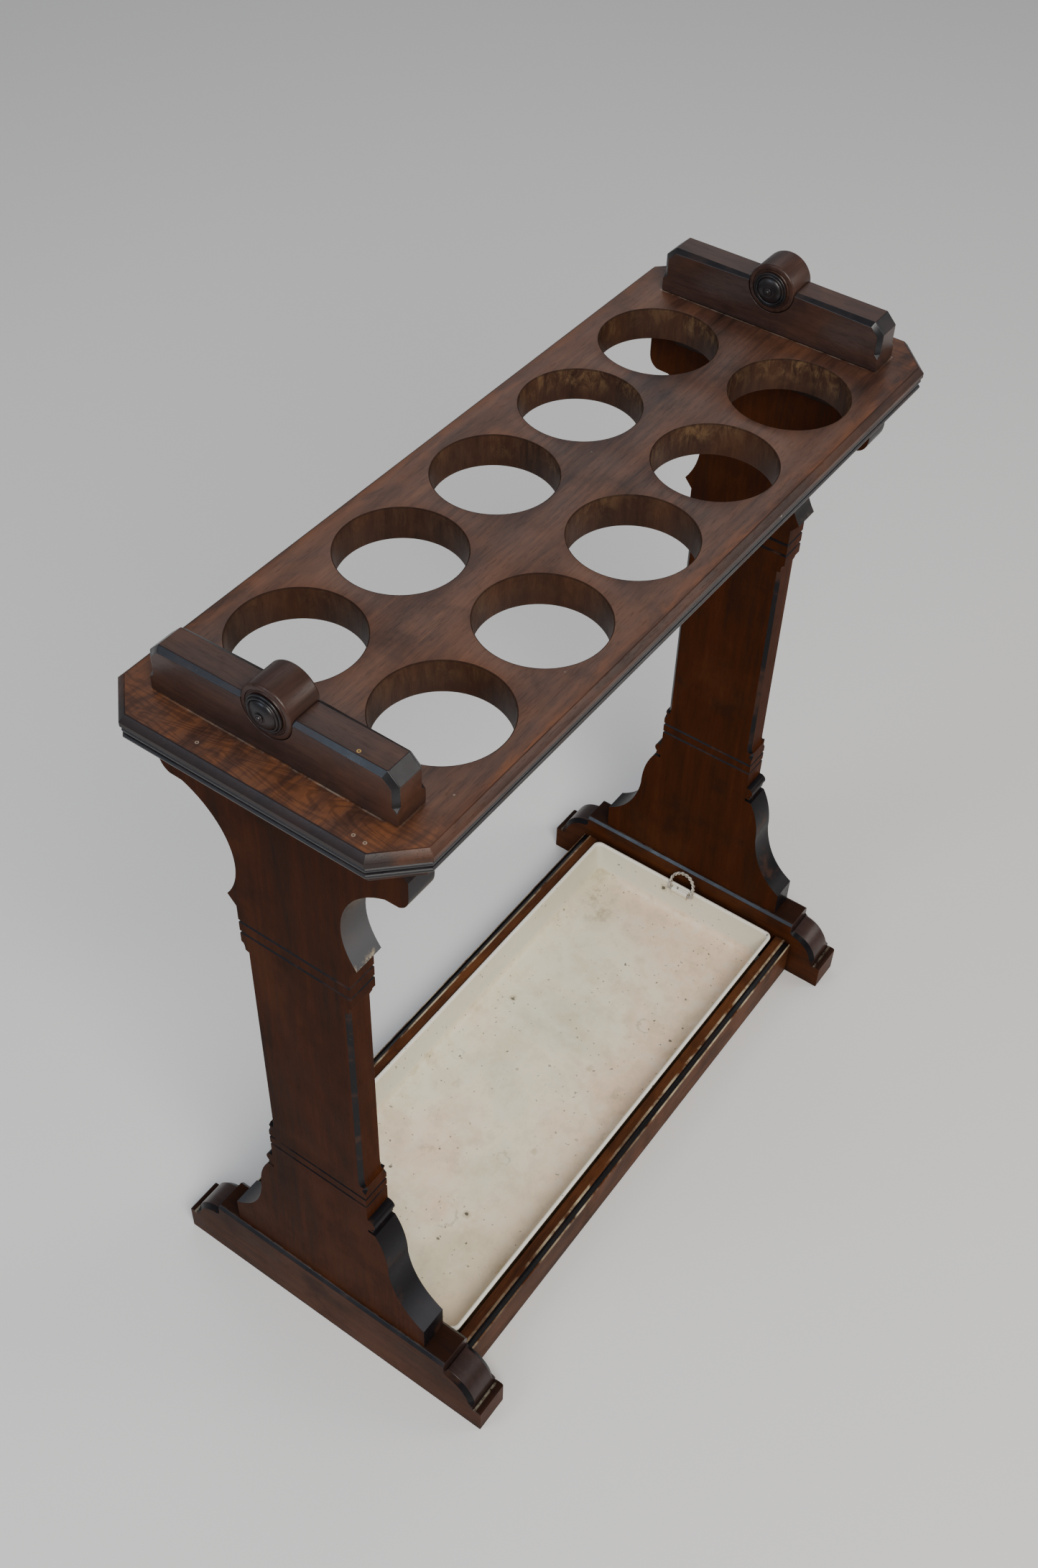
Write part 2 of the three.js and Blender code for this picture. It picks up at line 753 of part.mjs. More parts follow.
// A strap bent over the ring's straight side, with a foot above and below it against the wall.
function makeLug(end) {
  const back = end.side * (ringToWall - gap);
  const knuckle = new THREE.CylinderGeometry(ringToWall + lugWall, ringToWall + lugWall, lugWidth, 20);
  const bore = new THREE.CylinderGeometry(ringToWall, ringToWall, lugWidth + over, 20);
  const footHeights = lugFootAbove + lugFootBelow;
  const feet = box(
    lugWall, lugWidth, footHeights, back - end.side * lugWall / 2, 0, (lugFootAbove - lugFootBelow) / 2,
  );
  const beyond = box(2 * over, lugWidth + over, 2 * footHeights, back + end.side * over, 0, 0);
  const solid = cut(joined(toSolid(knuckle), feet), toSolid(bore), beyond);
  const mesh = addPiece(`tray_lug_${end.name}`, solid, tin);
  mesh.position.set(end.side * ringPivotX, 0, ringPivotZ);
  mesh.rotation.y = end.side * traySlope;
}

// A D of round wire: the straight side turns in the lug and the bow stands above the rim.
function ringSolid() {
  const wire = new THREE.Shape();
  wire.absarc(0, 0, ringWire / 2, 0, 2 * Math.PI);
  const turns = 12;
  const points = [new THREE.Vector3(0, ringHalfWidth, 0)];
  for (let i = 0; i <= turns; i += 1) {
    const angle = i * Math.PI / turns;
    points.push(new THREE.Vector3(
      0,
      ringHalfWidth * Math.cos(angle),
      ringLeg + ringHalfWidth * Math.sin(angle),
    ));
  }
  points.push(new THREE.Vector3(0, -ringHalfWidth, 0));
  const bow = new THREE.ExtrudeGeometry(wire, {
    steps: 2 * turns,
    extrudePath: new THREE.CatmullRomCurve3(points, false, 'centripetal'),
    bevelEnabled: false,
    curveSegments: 5,
  });
  const length = 2 * ringHalfWidth + ringWire;
  return toSolid(bow).add(toSolid(new THREE.CylinderGeometry(ringWire / 2, ringWire / 2, length, 12)));
}

function makeRing(end) {
  const mesh = addPiece(`tray_ring_${end.name}`, ringSolid(), tin);
  mesh.position.set(end.side * ringPivotX, 0, ringPivotZ);
  mesh.rotation.y = end.side * ringLean;
}

// ---------------------------------------------------------------- dowels, screws and glue blocks

function makeDowel(name, end, y, bottom, length) {
  addPiece(name, upright(dowelDiameter, length, end.side * endCentre, y, bottom, 14), deal);
}

function makeDowels(end) {
  for (const side of sides) {
    makeDowel(
      `foot_dowel_${end.name}_${side.name}`,
      end,
      side.side * footDowelSpacing / 2,
      footHeight - dowelInFoot,
      dowelInFoot + gap + dowelInSupport,
    );
    makeDowel(
      `board_dowel_${end.name}_${side.name}`,
      end,
      side.side * boardDowelSpacing / 2,
      boardBottom - gap - dowelInSupport,
      dowelInSupport + gap + dowelInBoard,
    );
  }
}

function makeScrews(end) {
  const head = screwHeadDiameter / 2;
  const shank = screwShankDiameter / 2;
  const profile = [
    [0, gap], [head, gap], [shank, screwHeadHeight], [shank, screwLength - screwPoint], [0, screwLength],
  ];
  for (const side of sides) {
    const place = at(end.side * endCentre, side.side * screwSpacing / 2, boardBottom, Math.PI / 2, 0, 0);
    addPiece(`crest_screw_${end.name}_${side.name}`, turned(profile, place, 12), steel);
  }
}

function makeGlueBlocks(end) {
  const inner = end.side * (supportInner - gap);
  const top = boardBottom - gap;
  for (const side of sides) {
    const shape = outline([[0, 0], [-end.side * blockLeg, 0], [0, -blockLeg]]);
    const y = side.side * blockSpacing / 2;
    const place = at(inner, y + blockLength / 2, top, Math.PI / 2, 0, 0);
    addPiece(`glue_block_${end.name}_${side.name}`, extruded(shape, blockLength, place), deal);
  }
}

// ---------------------------------------------------------------- assembly

makeTopBoard();
for (const end of ends) {
  makeFoot(end);
  makeSupport(end);
  makeCrest(end);
  makeRoundel(end);
  makeBoss(end, end.side, 'outer');
  makeBoss(end, -end.side, 'inner');
  makeLug(end);
  makeRing(end);
  makeDowels(end);
  makeScrews(end);
  makeGlueBlocks(end);
}
for (const side of sides) {
  makeRail(side);
  makeLedger(side);
}
makeSlats();
makeTray();

export default group;
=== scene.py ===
# %% [markdown]
# # A hall stand for walking sticks and umbrellas
# Two shaped ends carry a thick board with ten round holes, and a painted tray lies between the feet
# to catch the drips. The joints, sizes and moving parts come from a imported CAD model, the frame.
# This notebook gives every visible piece a finer shape and a finish. It loads the frame first,
# because every piece takes its place from it.

# %% Frame, units and sides
import json
import math

import bmesh
import bpy
from mathutils import Matrix, Vector


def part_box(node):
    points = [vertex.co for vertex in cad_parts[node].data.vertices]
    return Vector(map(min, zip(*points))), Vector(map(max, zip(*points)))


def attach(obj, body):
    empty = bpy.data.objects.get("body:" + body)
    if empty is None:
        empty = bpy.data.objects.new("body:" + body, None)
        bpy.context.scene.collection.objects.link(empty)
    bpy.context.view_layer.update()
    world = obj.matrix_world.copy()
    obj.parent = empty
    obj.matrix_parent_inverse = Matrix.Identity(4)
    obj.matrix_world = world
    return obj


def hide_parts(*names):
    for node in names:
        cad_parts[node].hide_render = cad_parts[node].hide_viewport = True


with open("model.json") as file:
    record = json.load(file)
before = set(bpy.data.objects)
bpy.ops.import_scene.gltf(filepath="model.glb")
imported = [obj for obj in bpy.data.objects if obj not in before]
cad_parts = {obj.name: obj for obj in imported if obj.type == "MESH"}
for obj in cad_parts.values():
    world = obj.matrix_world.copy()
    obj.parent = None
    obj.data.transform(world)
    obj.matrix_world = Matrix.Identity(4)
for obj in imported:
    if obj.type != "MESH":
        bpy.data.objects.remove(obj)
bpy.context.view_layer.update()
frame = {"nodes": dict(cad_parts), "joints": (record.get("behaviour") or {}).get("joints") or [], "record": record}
MM = 0.001
ENDS = (("left", -1), ("right", 1))
SIDES = (("front", -1), ("back", 1))


def added(name, data):
    """A new object with this data, linked into the scene."""
    made = bpy.data.objects.new(name, data)
    bpy.context.scene.collection.objects.link(made)
    return made


print("nodes in the frame:", len(frame["nodes"]))

# %% [markdown]
# ## Camera
# The stand is seen from above its left end, as a person sees it on walking up to it. The camera is
# placed by a point to look at, two angles and a distance, and rolled a little, since a camera held
# in the hand is never quite level. It comes first, so that each piece can be judged in the picture.

# %% Camera
LOOK_AT = Vector((-41.3, -1.3, 440.7)) * MM
LOOK_AZIMUTH = math.radians(-55.73)
LOOK_ELEVATION = math.radians(46.45)
LOOK_ROLL = math.radians(1.95)
LOOK_DISTANCE = 1284.9 * MM
LENS_MM = 40.58


def make_camera():
    """A camera that turns round LOOK_AT: azimuth 0 looks along +Y."""
    data = bpy.data.cameras.new("camera")
    data.lens = LENS_MM
    camera = added("camera", data)
    turn = Matrix.Rotation(LOOK_AZIMUTH, 4, "Z")
    tip = Matrix.Rotation(math.pi / 2 - LOOK_ELEVATION, 4, "X")
    roll = Matrix.Rotation(LOOK_ROLL, 4, "Z")
    back = Matrix.Translation((0, 0, LOOK_DISTANCE))
    camera.matrix_world = Matrix.Translation(LOOK_AT) @ turn @ tip @ back @ roll
    bpy.context.scene.camera = camera
    return camera


print("camera at", [round(value, 3) for value in make_camera().matrix_world.translation])

# %% [markdown]
# ## Light
# Polished wood shows its shape by what it reflects, so the light is a few large soft panels and a
# pale room, not small lamps. The cool panel behind the left end lights the chamfers and mouldings,
# and the last one lays a faint sheen on the board.

# %% Light
ROOM_LIGHT = (0.88, 0.92, 1.0)
ROOM_STRENGTH = 0.34
PANEL_AIM = Vector((0, 0, 0.4))
PANELS = (  # name, place, size, watts, colour
    ("key_panel", (-1.3, -1.5, 2.4), 1.5, 74, (1.0, 0.965, 0.915)),
    ("cool_panel", (-1.9, 0.85, 1.9), 1.1, 15, (0.66, 0.8, 1.0)),
    ("side_panel", (1.5, -2.0, 1.5), 1.2, 16, (1.0, 0.95, 0.9)),
    ("sheen_panel", (1.5, 1.0, 2.5), 1.9, 7, (1.0, 0.97, 0.94)),
)


def make_light():
    world = bpy.data.worlds.new("room")
    world.use_nodes = True
    background = world.node_tree.nodes["Background"]
    background.inputs["Color"].default_value = (*ROOM_LIGHT, 1)
    background.inputs["Strength"].default_value = ROOM_STRENGTH
    bpy.context.scene.world = world
    for name, place, size, watts, colour in PANELS:
        data = bpy.data.lights.new(name, "AREA")
        data.shape = "DISK"
        data.size = size
        data.energy = watts
        data.color = colour
        lamp = added(name, data)
        lamp.location = place
        lamp.rotation_euler = (PANEL_AIM - Vector(place)).to_track_quat("-Z", "Y").to_euler()


make_light()
print("panels:", [panel[0] for panel in PANELS])

# %% [markdown]
# ## Floor
# The floor is one large pale square. It lies a hair below the feet, so that the two flat faces
# don't fight for the same place.

# %% Floor
FLOOR_HALF = 40
FLOOR_DROP = 0.2 * MM
FLOOR_COLOUR = (0.8, 0.785, 0.76, 1)
FLOOR_ROUGHNESS = 0.75


def make_floor():
    bm = bmesh.new()
    bmesh.ops.create_grid(bm, x_segments=1, y_segments=1, size=FLOOR_HALF)
    mesh = bpy.data.meshes.new("floor")
    bm.to_mesh(mesh)
    bm.free()
    floor = added("floor", mesh)
    floor.location.z = -FLOOR_DROP
    material = bpy.data.materials.new("pale_floor")
    material.use_nodes = True
    shader = material.node_tree.nodes["Principled BSDF"]
    shader.inputs["Base Color"].default_value = FLOOR_COLOUR
    shader.inputs["Roughness"].default_value = FLOOR_ROUGHNESS
    mesh.materials.append(material)
    return floor


print("floor half width in metres:", make_floor().dimensions.x / 2)

# %% [markdown]
# ## Writing materials as sentences
# A finish is a small web of nodes. Wiring it by hand hides what it says, so this class adds a node
# and joins its inputs in one call. It also remembers the colour so far, so that each mark on the
# wood is one line: how much of it there is, and its colour.


# %% A short way to write node materials
class Finish:
    """A new material whose nodes are added and wired by these calls."""

    def __init__(self, name, **constants):
        self.material = bpy.data.materials.new(name)
        self.material.use_nodes = True
        self.tree = self.material.node_tree
        self.shader = self.tree.nodes["Principled BSDF"]
        for socket, value in constants.items():
            self.shader.inputs[socket.replace("_", " ")].default_value = value
        self.place = self.node("ShaderNodeTexCoord").outputs["Object"]
        self.colour = None

    def node(self, kind, inputs=None, **settings):
        node = self.tree.nodes.new(kind)
        for key, value in settings.items():
            setattr(node, key, value)
        for socket, value in (inputs or {}).items():
            self.put(node.inputs[socket], value)
        return node

    def put(self, socket, value):
        if isinstance(value, bpy.types.NodeSocket):
            self.tree.links.new(value, socket)
        else:
            socket.default_value = value

    def set(self, socket, value):
        self.put(self.shader.inputs[socket], value)

    def maths(self, operation, first, second=0.0, third=0.0):
        values = {0: first, 1: second, 2: third}
        return self.node("ShaderNodeMath", values, operation=operation).outputs[0]

    def times(self, value, *others):
        for other in others:
            value = self.maths("MULTIPLY", value, other)
        return value

    def most(self, first, second):
        return self.maths("MAXIMUM", first, second)

    def less(self, first, second):
        return self.maths("SUBTRACT", first, second)

    def add(self, value, share, base):
        """The base and a share of the value."""
        return self.maths("MULTIPLY_ADD", value, share, base)

    def vectors(self, operation, first, second, output="Vector"):
        inputs = {0: first, 1: second}
        return self.node("ShaderNodeVectorMath", inputs, operation=operation).outputs[output]

    def axis(self, vector, letter):
        return self.node("ShaderNodeSeparateXYZ", {0: vector}).outputs[letter]

    def outward(self, letter):
        """Distance from the middle of the stand along one axis, the same on both sides."""
        return self.maths("ABSOLUTE", self.axis(self.place, letter))

    def off(self, value, target):
        """How far a value is from its target, either way."""
        return self.maths("ABSOLUTE", self.less(value, target))

    def distance_to(self, point):
        return self.vectors("DISTANCE", self.place, point, "Value")

    def stretched(self, scale, turn=(0, 0, 0)):
        inputs = {"Vector": self.place, "Scale": scale, "Rotation": turn}
        return self.node("ShaderNodeMapping", inputs).outputs[0]

    def noise(self, scale, detail=2.0, roughness=0.5, distortion=0.0, at=None):
        """A noise from 0 to 1, at the object's own place or at a stretched one."""
        inputs = {
            "Vector": at or self.place, "Scale": scale, "Detail": detail,
            "Roughness": roughness, "Distortion": distortion,
        }
        return self.node("ShaderNodeTexNoise", inputs).outputs["Fac"]

    def step(self, value, low, high, out_low=0.0, out_high=1.0):
        """A smooth step from out_low to out_high as the value goes from low to high."""
        inputs = {"Value": value, 1: low, 2: high, 3: out_low, 4: out_high}
        kind = "SMOOTHSTEP"
        return self.node("ShaderNodeMapRange", inputs, interpolation_type=kind).outputs[0]

    def above(self, base, low, high, out_low=0.0, out_high=1.0):
        """A step in height, from low to high millimetres above a base."""
        height = self.axis(self.place, "Z")
        return self.step(height, base + low * MM, base + high * MM, out_low, out_high)

    def ramp(self, value, *stops):
        node = self.node("ShaderNodeValToRGB", {0: value})
        elements = node.color_ramp.elements
        while len(elements) < len(stops):
            elements.new(0.5)
        for element, (position, colour) in zip(elements, stops):
            element.position = position
            element.color = (*colour, 1)
        return node.outputs[0]

    def tint(self, share, colour):
        """Lays a colour over the colour so far, by a share from 0 to 1."""
        node = self.node("ShaderNodeMix", data_type="RGBA")
        self.put(node.inputs["Factor"], share)
        for socket, part in ((6, self.colour), (7, colour)):
            flat = not isinstance(part, bpy.types.NodeSocket)
            self.put(node.inputs[socket], (*part, 1) if flat else part)
        self.colour = node.outputs[2]
        self.set("Base Color", self.colour)

    def ragged(self, scale, reach):
        """The place with a small random shift, which makes round marks ragged."""
        inputs = {"Vector": self.place, "Scale": scale, "Detail": 2.0}
        noise = self.node("ShaderNodeTexNoise", inputs)
        centred = self.vectors("SUBTRACT", noise.outputs["Color"], (0.5, 0.5, 0.5))
        shift = {0: centred, "Scale": reach * 4}
        shift = self.node("ShaderNodeVectorMath", shift, operation="SCALE").outputs[0]
        return self.vectors("ADD", self.place, shift)

    def specks(self, vector, scale, size, rarity):
        """Small round spots: near a cell's middle, and only in the few cells picked by rarity."""
        cells = self.node("ShaderNodeTexVoronoi", {"Vector": vector, "Scale": scale})
        near = self.step(cells.outputs["Distance"], size, size * 0.6)
        picked = self.maths("GREATER_THAN", self.axis(cells.outputs["Color"], "X"), rarity)
        return self.times(near, picked)

    def hollow(self, distance, low, high, most):
        """High where the surface is hemmed in, as in a corner, a quirk or a twist: the mask for painted shade."""
        node = self.node("ShaderNodeAmbientOcclusion", {"Distance": distance}, samples=6)
        return self.step(node.outputs["AO"], low, high, most, 0)

    def bump(self, height, distance, strength):
        inputs = {"Height": height, "Distance": distance, "Strength": strength}
        return self.node("ShaderNodeBump", inputs).outputs[0]


# %% [markdown]
# ## Polished walnut
# Old walnut is a deep red-brown with darker growth lines, fine fibres and short open pores that run
# with the grain. One function makes it for any grain direction: the pattern is stretched along the
# grain, so a bar cut the other way only needs another axis. Handling has rubbed the colour warmer in
# patches, and the hollows are darkened with a painted shade.

# %% Timber
GRAIN_AXES = {"X": (1, 13, 13), "Y": (13, 1, 13), "Z": (13, 13, 1)}
RUBBED = (0.15, 0.052, 0.018)
HOLLOW_SHADE = (0.006, 0.005, 0.005)


def timber(name, along, tones, worn_share, gloss, pore_depth, shine=0.35):
    """Wood whose grain runs along one axis, in three tones from the darkest to the palest."""
    finish = Finish(name, IOR=1.45, Specular_IOR_Level=shine)
    deep, mid, pale = tones
    grain = finish.stretched(GRAIN_AXES[along])
    broad = finish.noise(2.6, 3, 0.5, 0.35, at=grain)
    streaks = finish.noise(17.0, 3, 0.6, 0.25, at=grain)
    fibres = finish.noise(75.0, 2, 0.6, at=grain)
    growth = finish.noise(0.8, 2, 0.5, 0.3, at=grain)
    rings = finish.maths("SINE", finish.times(growth, 150.0))
    figure = finish.add(rings, 0.03, finish.times(broad, 0.5))
    figure = finish.add(streaks, 0.3, figure)
    figure = finish.add(fibres, 0.2, figure)
    finish.colour = finish.ramp(figure, (0.34, deep), (0.5, mid), (0.68, pale))
    patches = finish.noise(9.0, 4, 0.62, 0.5)
    finish.tint(finish.times(finish.step(patches, 0.47, 0.68), worn_share), RUBBED)
    clouds = finish.noise(26.0, 4, 0.62)
    finish.tint(finish.step(clouds, 0.5, 0.75, 0, 0.6), deep)
    pores = finish.step(finish.noise(125.0, 1, 0.5, at=grain), 0.6, 0.72)
    finish.tint(finish.times(pores, pore_depth), [0.3 * c for c in deep])
    # Painted shade: the hollows and joints are darkened almost to black.
    finish.tint(finish.hollow(9 * MM, 0.25, 0.85, 0.75), HOLLOW_SHADE)
    finish.set("Roughness", finish.add(pores, 0.08, finish.add(clouds, 0.22, gloss - 0.11)))
    height = finish.add(fibres, 0.6, finish.times(pores, -0.8))
    finish.set("Normal", finish.bump(height, 0.1 * MM, 0.4))
    return finish


# %% [markdown]
# The pieces were stained and polished apart, so each has its own tones. The ends and feet are the
# reddest, the crest bars the coolest, and the roll at the tip of each foot is nearly black.

# %% Walnut for each kind of piece
DEEP = (0.019, 0.0085, 0.0055)
BOARD_TONES = (DEEP, (0.064, 0.0265, 0.0155), (0.108, 0.046, 0.0235))
END_TONES = (DEEP, (0.036, 0.0102, 0.0036), (0.053, 0.0147, 0.005))
CREST_TONES = (DEEP, (0.039, 0.018, 0.0125), (0.064, 0.029, 0.019))
FOOT_TONES = (DEEP, (0.042, 0.0122, 0.0042), (0.066, 0.0188, 0.006))
ROLL_TONES = (DEEP, (0.027, 0.013, 0.0105), (0.043, 0.0205, 0.0155))
RAIL_TONES = (DEEP, (0.06, 0.021, 0.009), (0.098, 0.035, 0.014))

end_walnut = timber("end_walnut", "Z", END_TONES, 0.1, 0.42, 0.15, 0.02)
crest_walnut = timber("crest_walnut", "Y", CREST_TONES, 0.2, 0.32, 0.25, 0.45)
foot_walnut = timber("foot_walnut", "Y", FOOT_TONES, 0.15, 0.4, 0.2, 0.04)
roll_walnut = timber("roll_walnut", "Y", ROLL_TONES, 0.1, 0.3, 0.2, 0.4)
rail_walnut = timber("rail_walnut", "X", RAIL_TONES, 0.5, 0.42, 0.4, 0.04)
turned_walnut = timber("turned_walnut", "X", CREST_TONES, 0.15, 0.34, 0.3)
walnuts = (end_walnut, crest_walnut, foot_walnut, roll_walnut, rail_walnut, turned_walnut)
print("timbers:", [finish.material.name for finish in walnuts])

# %% [markdown]
# ## Dust in the joints, painted shadow on the feet, and small rings
# Dust and old wax lie where a cloth can't reach: along the front of each end support, in the quirk
# of the foot's ledge and on the arrises of the rails. Each is a distance from the joint, worked out
# from the pieces' boxes. The flat top of each foot beyond the support and the top of its ledge are
# darkened by a painted shadow. A drop of paint and a brass pin each leave a small ring.


# %% How dust and rings are laid
def dust(finish, distance, reach, amount, colour, scale):
    """Lays a broken pale line where a distance field is near zero."""
    line = finish.step(finish.maths("ABSOLUTE", distance), reach, reach * 0.4)
    broken = finish.step(finish.noise(scale, 4, 0.7), 0.38, 0.6)
    broad = finish.step(finish.noise(14.0, 2), 0.35, 0.62, 0.25, 1.0)
    finish.tint(finish.times(line, finish.times(broken, broad), amount), colour)


def ring_mark(finish, point, radius, colour):
    edge = finish.off(finish.distance_to(point), radius)
    finish.tint(finish.step(edge, 0.5 * MM, 0.15 * MM, 0, 0.85), colour)


# %% Dust and painted shadow on the feet, dust on the rails, and the pin in the crest bar
LEDGE_DEPTH = 6 * MM
FAR_OFF = 0.01
RAIL_ARRISES = (0.6, 7.0)
BRASS = (0.4, 0.24, 0.06)
FOOT_SHADOW = (0.014, 0.0075, 0.006)
FOOT_DUST = (0.17, 0.14, 0.115)
LEDGE_DUST = (0.3, 0.27, 0.2)
RAIL_DUST = (0.48, 0.4, 0.26)


def feet_dust_and_shadow(finish):
    support_low, support_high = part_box("end_support_right")
    half = (support_high.x - support_low.x) / 2
    along = finish.off(finish.outward("X"), (support_low.x + support_high.x) / 2)
    under = finish.above(support_low.z, -1.6, -0.8, FAR_OFF, 0)
    away = finish.most(finish.off(along, half + 0.6 * MM), under)
    dust(finish, away, 1.2 * MM, 0.3, FOOT_DUST, 60.0)
    # Painted shadow: the flat top beyond each support and the top of each ledge are darkened.
    outward = finish.outward("Y")
    past_support = finish.step(outward, 90 * MM, 96 * MM)
    on_flat = finish.times(past_support, finish.above(0, 63, 65.4, 0, 0.7))
    past_roll = finish.step(outward, 140 * MM, 146 * MM)
    on_ledge = finish.times(past_roll, finish.above(0, 25, 26.8, 0, 0.8))
    finish.tint(finish.most(on_flat, on_ledge), FOOT_SHADOW)
    across = finish.off(outward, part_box("foot_right")[1].y - LEDGE_DEPTH)
    over = finish.above(0, 30, 32, 0, FAR_OFF)
    under = finish.above(0, 24, 26, FAR_OFF, 0)
    away = finish.most(across, finish.most(over, under))
    dust(finish, away, 1.6 * MM, 0.6, LEDGE_DUST, 140.0)


def dusty_rails(finish):
    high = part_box("side_rail_back")[1]
    low_down = finish.above(high.z, -4.4, -3.4, FAR_OFF, 0)
    for inset in RAIL_ARRISES:
        away = finish.off(finish.outward("Y"), high.y - inset * MM)
        dust(finish, finish.most(away, low_down), 1.4 * MM, 0.9, RAIL_DUST, 34.0)


bar_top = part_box("crest_bar_left")[1].z
ring_mark(crest_walnut, (-0.2798, -0.0606, bar_top), 0.95 * MM, BRASS)
feet_dust_and_shadow(foot_walnut)
dusty_rails(rail_walnut)
print("top of the crest bar:", round(bar_top / MM, 1), "mm")

# %% [markdown]
# ## The board's own wood
# The top board is the same walnut, but it has its own marks: it glows orange where hands rub its
# ends and edges, the grain curls at its ends, it has a line of dust against each crest bar, and a
# few specks of old paint. Each mark is plain arithmetic on the object's own coordinates.

# %% Board finish
OLD_PAINT = (0.5, 0.44, 0.36)
BAR_DUST = (0.25, 0.21, 0.17)
PAINT_RINGS = ((-0.3042, -0.0827), (-0.3035, -0.0742), (-0.3021, 0.0397))
board_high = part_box("top_board")[1]


def board_timber():
    finish = timber("board_walnut", "X", BOARD_TONES, 0.3, 0.34, 0.3, 0.5)
    across = finish.outward("Y")
    along = finish.outward("X")
    near_side = finish.step(across, board_high.y - 22 * MM, board_high.y - 5 * MM)
    near_end = finish.step(along, board_high.x - 62 * MM, board_high.x - 24 * MM)
    rubbed = finish.most(near_side, near_end)
    broken = finish.noise(22.0, 5, 0.65, 0.8, finish.stretched((1, 3, 1)))
    broken = finish.step(broken, 0.4, 0.64)
    finish.tint(finish.times(rubbed, broken, 0.6), RUBBED)
    curl = finish.noise(6.0, 3, 0.5, 1.2, finish.stretched((7, 1.6, 1)))
    curl = finish.maths("SINE", finish.times(curl, 75.0))
    finish.tint(finish.times(finish.step(curl, -0.6, 1.0, 0, 0.42), near_end), DEEP)
    spots = finish.specks(finish.place, 85.0, 0.075, 0.93)
    few = finish.most(finish.times(rubbed, 0.9), 0.12)
    finish.tint(finish.times(spots, few), OLD_PAINT)
    bar_low, bar_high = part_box("crest_bar_right")
    out_x = finish.off(along, (bar_low.x + bar_high.x) / 2)
    out_x = finish.less(out_x, (bar_high.x - bar_low.x) / 2)
    out_y = finish.less(across, bar_high.y)
    outside = finish.less(finish.most(out_x, out_y), 0.5 * MM)
    dust(finish, outside, 0.8 * MM, 0.45, BAR_DUST, 90.0)
    for x, y in PAINT_RINGS:
        ring_mark(finish, (x, y, board_high.z), 0.9 * MM, (0.24, 0.19, 0.14))
    return finish


board_walnut = board_timber()
print("nodes in the board's finish:", len(board_walnut.tree.nodes))

# %% [markdown]
# The moulded edge is darker than the top: nearly black at the ends of the board, and brown along
# its sides. Inside a hole the wood is end grain, which is dark and dull, and the sticks have rubbed
# slanting marks of olive-gold into it. They are plainest in the holes towards the right end.

# %% Edge and bored wood
EDGE_TONES = (DEEP, (0.036, 0.017, 0.012), (0.075, 0.033, 0.02))
BORED_TONES = (DEEP, (0.034, 0.015, 0.009), (0.055, 0.024, 0.013))
OLIVE_GOLD = (0.135, 0.079, 0.037)


def edge_timber():
    finish = timber("board_edge", "X", EDGE_TONES, 0.3, 0.34, 0.3, 0.2)
    patchy = finish.noise(30.0, 3, 0.6)
    reach = finish.add(patchy, 14 * MM, finish.outward("X"))
    at_end = finish.step(reach, board_high.x - 9 * MM, board_high.x + 1 * MM, 0, 0.85)
    finish.tint(at_end, (0.016, 0.0125, 0.0125))
    spots = finish.specks(finish.place, 120.0, 0.12, 0.9)
    finish.tint(finish.times(spots, 0.7), (0.4, 0.35, 0.3))
    return finish


def bored_timber():
    finish = timber("bored_walnut", "Z", BORED_TONES, 0.1, 0.5, 0.2, 0.1)
    upper = finish.above(board_high.z, -24, -6)
    far = finish.step(finish.axis(finish.place, "X"), -0.15, 0.2, 0.3, 1.0)
    slanted = finish.stretched((2.2, 2.2, 1), (1.0, 0.9, 0))
    scratches = finish.step(finish.noise(46.0, 6, 0.75, 0.6, at=slanted), 0.42, 0.66)
    patches = finish.step(finish.noise(16.0, 2), 0.38, 0.58, 0.2, 0.75)
    finish.tint(finish.times(upper, far, finish.times(scratches, patches)), OLIVE_GOLD)
    rim = finish.above(board_high.z, -1.2, -0.4, 0, 0.5)
    finish.tint(rim, (0.012, 0.007, 0.005))
    return finish


board_edge = edge_timber()
bored_walnut = bored_timber()
print("finishes for the board:", board_edge.material.name, bored_walnut.material.name)

# %% [markdown]
# ## Black polish
# Beads, chamfers and the shaped edges were finished with black-stained polish. It is glossier than
# the flat faces and mirrors the room with a blue cast. Where it has worn, the brown wood shows. At
# the left end the lower part of each toe has a painted grey satin highlight, and so has each arch under
# the board, palest just above the cusp, where the black is also worn to pale flecks.

# %% Black polish
POLISH_BLACK = (0.0075, 0.0065, 0.0075)
# The arch's black is paler than the rest, part of its painted highlight.
ARCH_SHEEN_BLACK = (0.015, 0.0125, 0.012)
CUSP_RISE = 445 * MM
support_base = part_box("end_support_left")[0].z


def black_polish(name, wear, shine, black=POLISH_BLACK):
    finish = Finish(name, IOR=1.5, Specular_IOR_Level=shine)
    finish.colour = black
    patches = finish.noise(38.0, 4, 0.6, 0.4)
    scuffs = finish.noise(260.0, 3, 0.65)
    finish.tint(finish.times(finish.step(patches, 0.5, 0.7), wear), (0.05, 0.022, 0.013))
    finish.tint(finish.step(scuffs, 0.68, 0.8, 0, 0.3), (0.2, 0.18, 0.16))
    finish.set("Roughness", finish.add(scuffs, 0.12, finish.add(patches, 0.4, 0.06)))
    finish.set("Normal", finish.bump(scuffs, 0.05 * MM, 0.4))
    return finish


def left_end_highlight_and_wear(finish):
    """1 at the left end of the stand and little at the right end: it places the painted highlights and the worn
    flecks.
    """
    return finish.step(finish.axis(finish.place, "X"), 0.1, -0.1, 0.1, 1.0)


def shine_on_toes(finish):
    # Painted highlight: a bluish grey satin on the lower part of each toe at the left end.
    lower = finish.above(support_base, 56, 27, 0, 0.85)
    on_support = finish.above(support_base, 24.5, 26)
    finish.tint(finish.times(lower, left_end_highlight_and_wear(finish), on_support), (0.042, 0.042, 0.046))


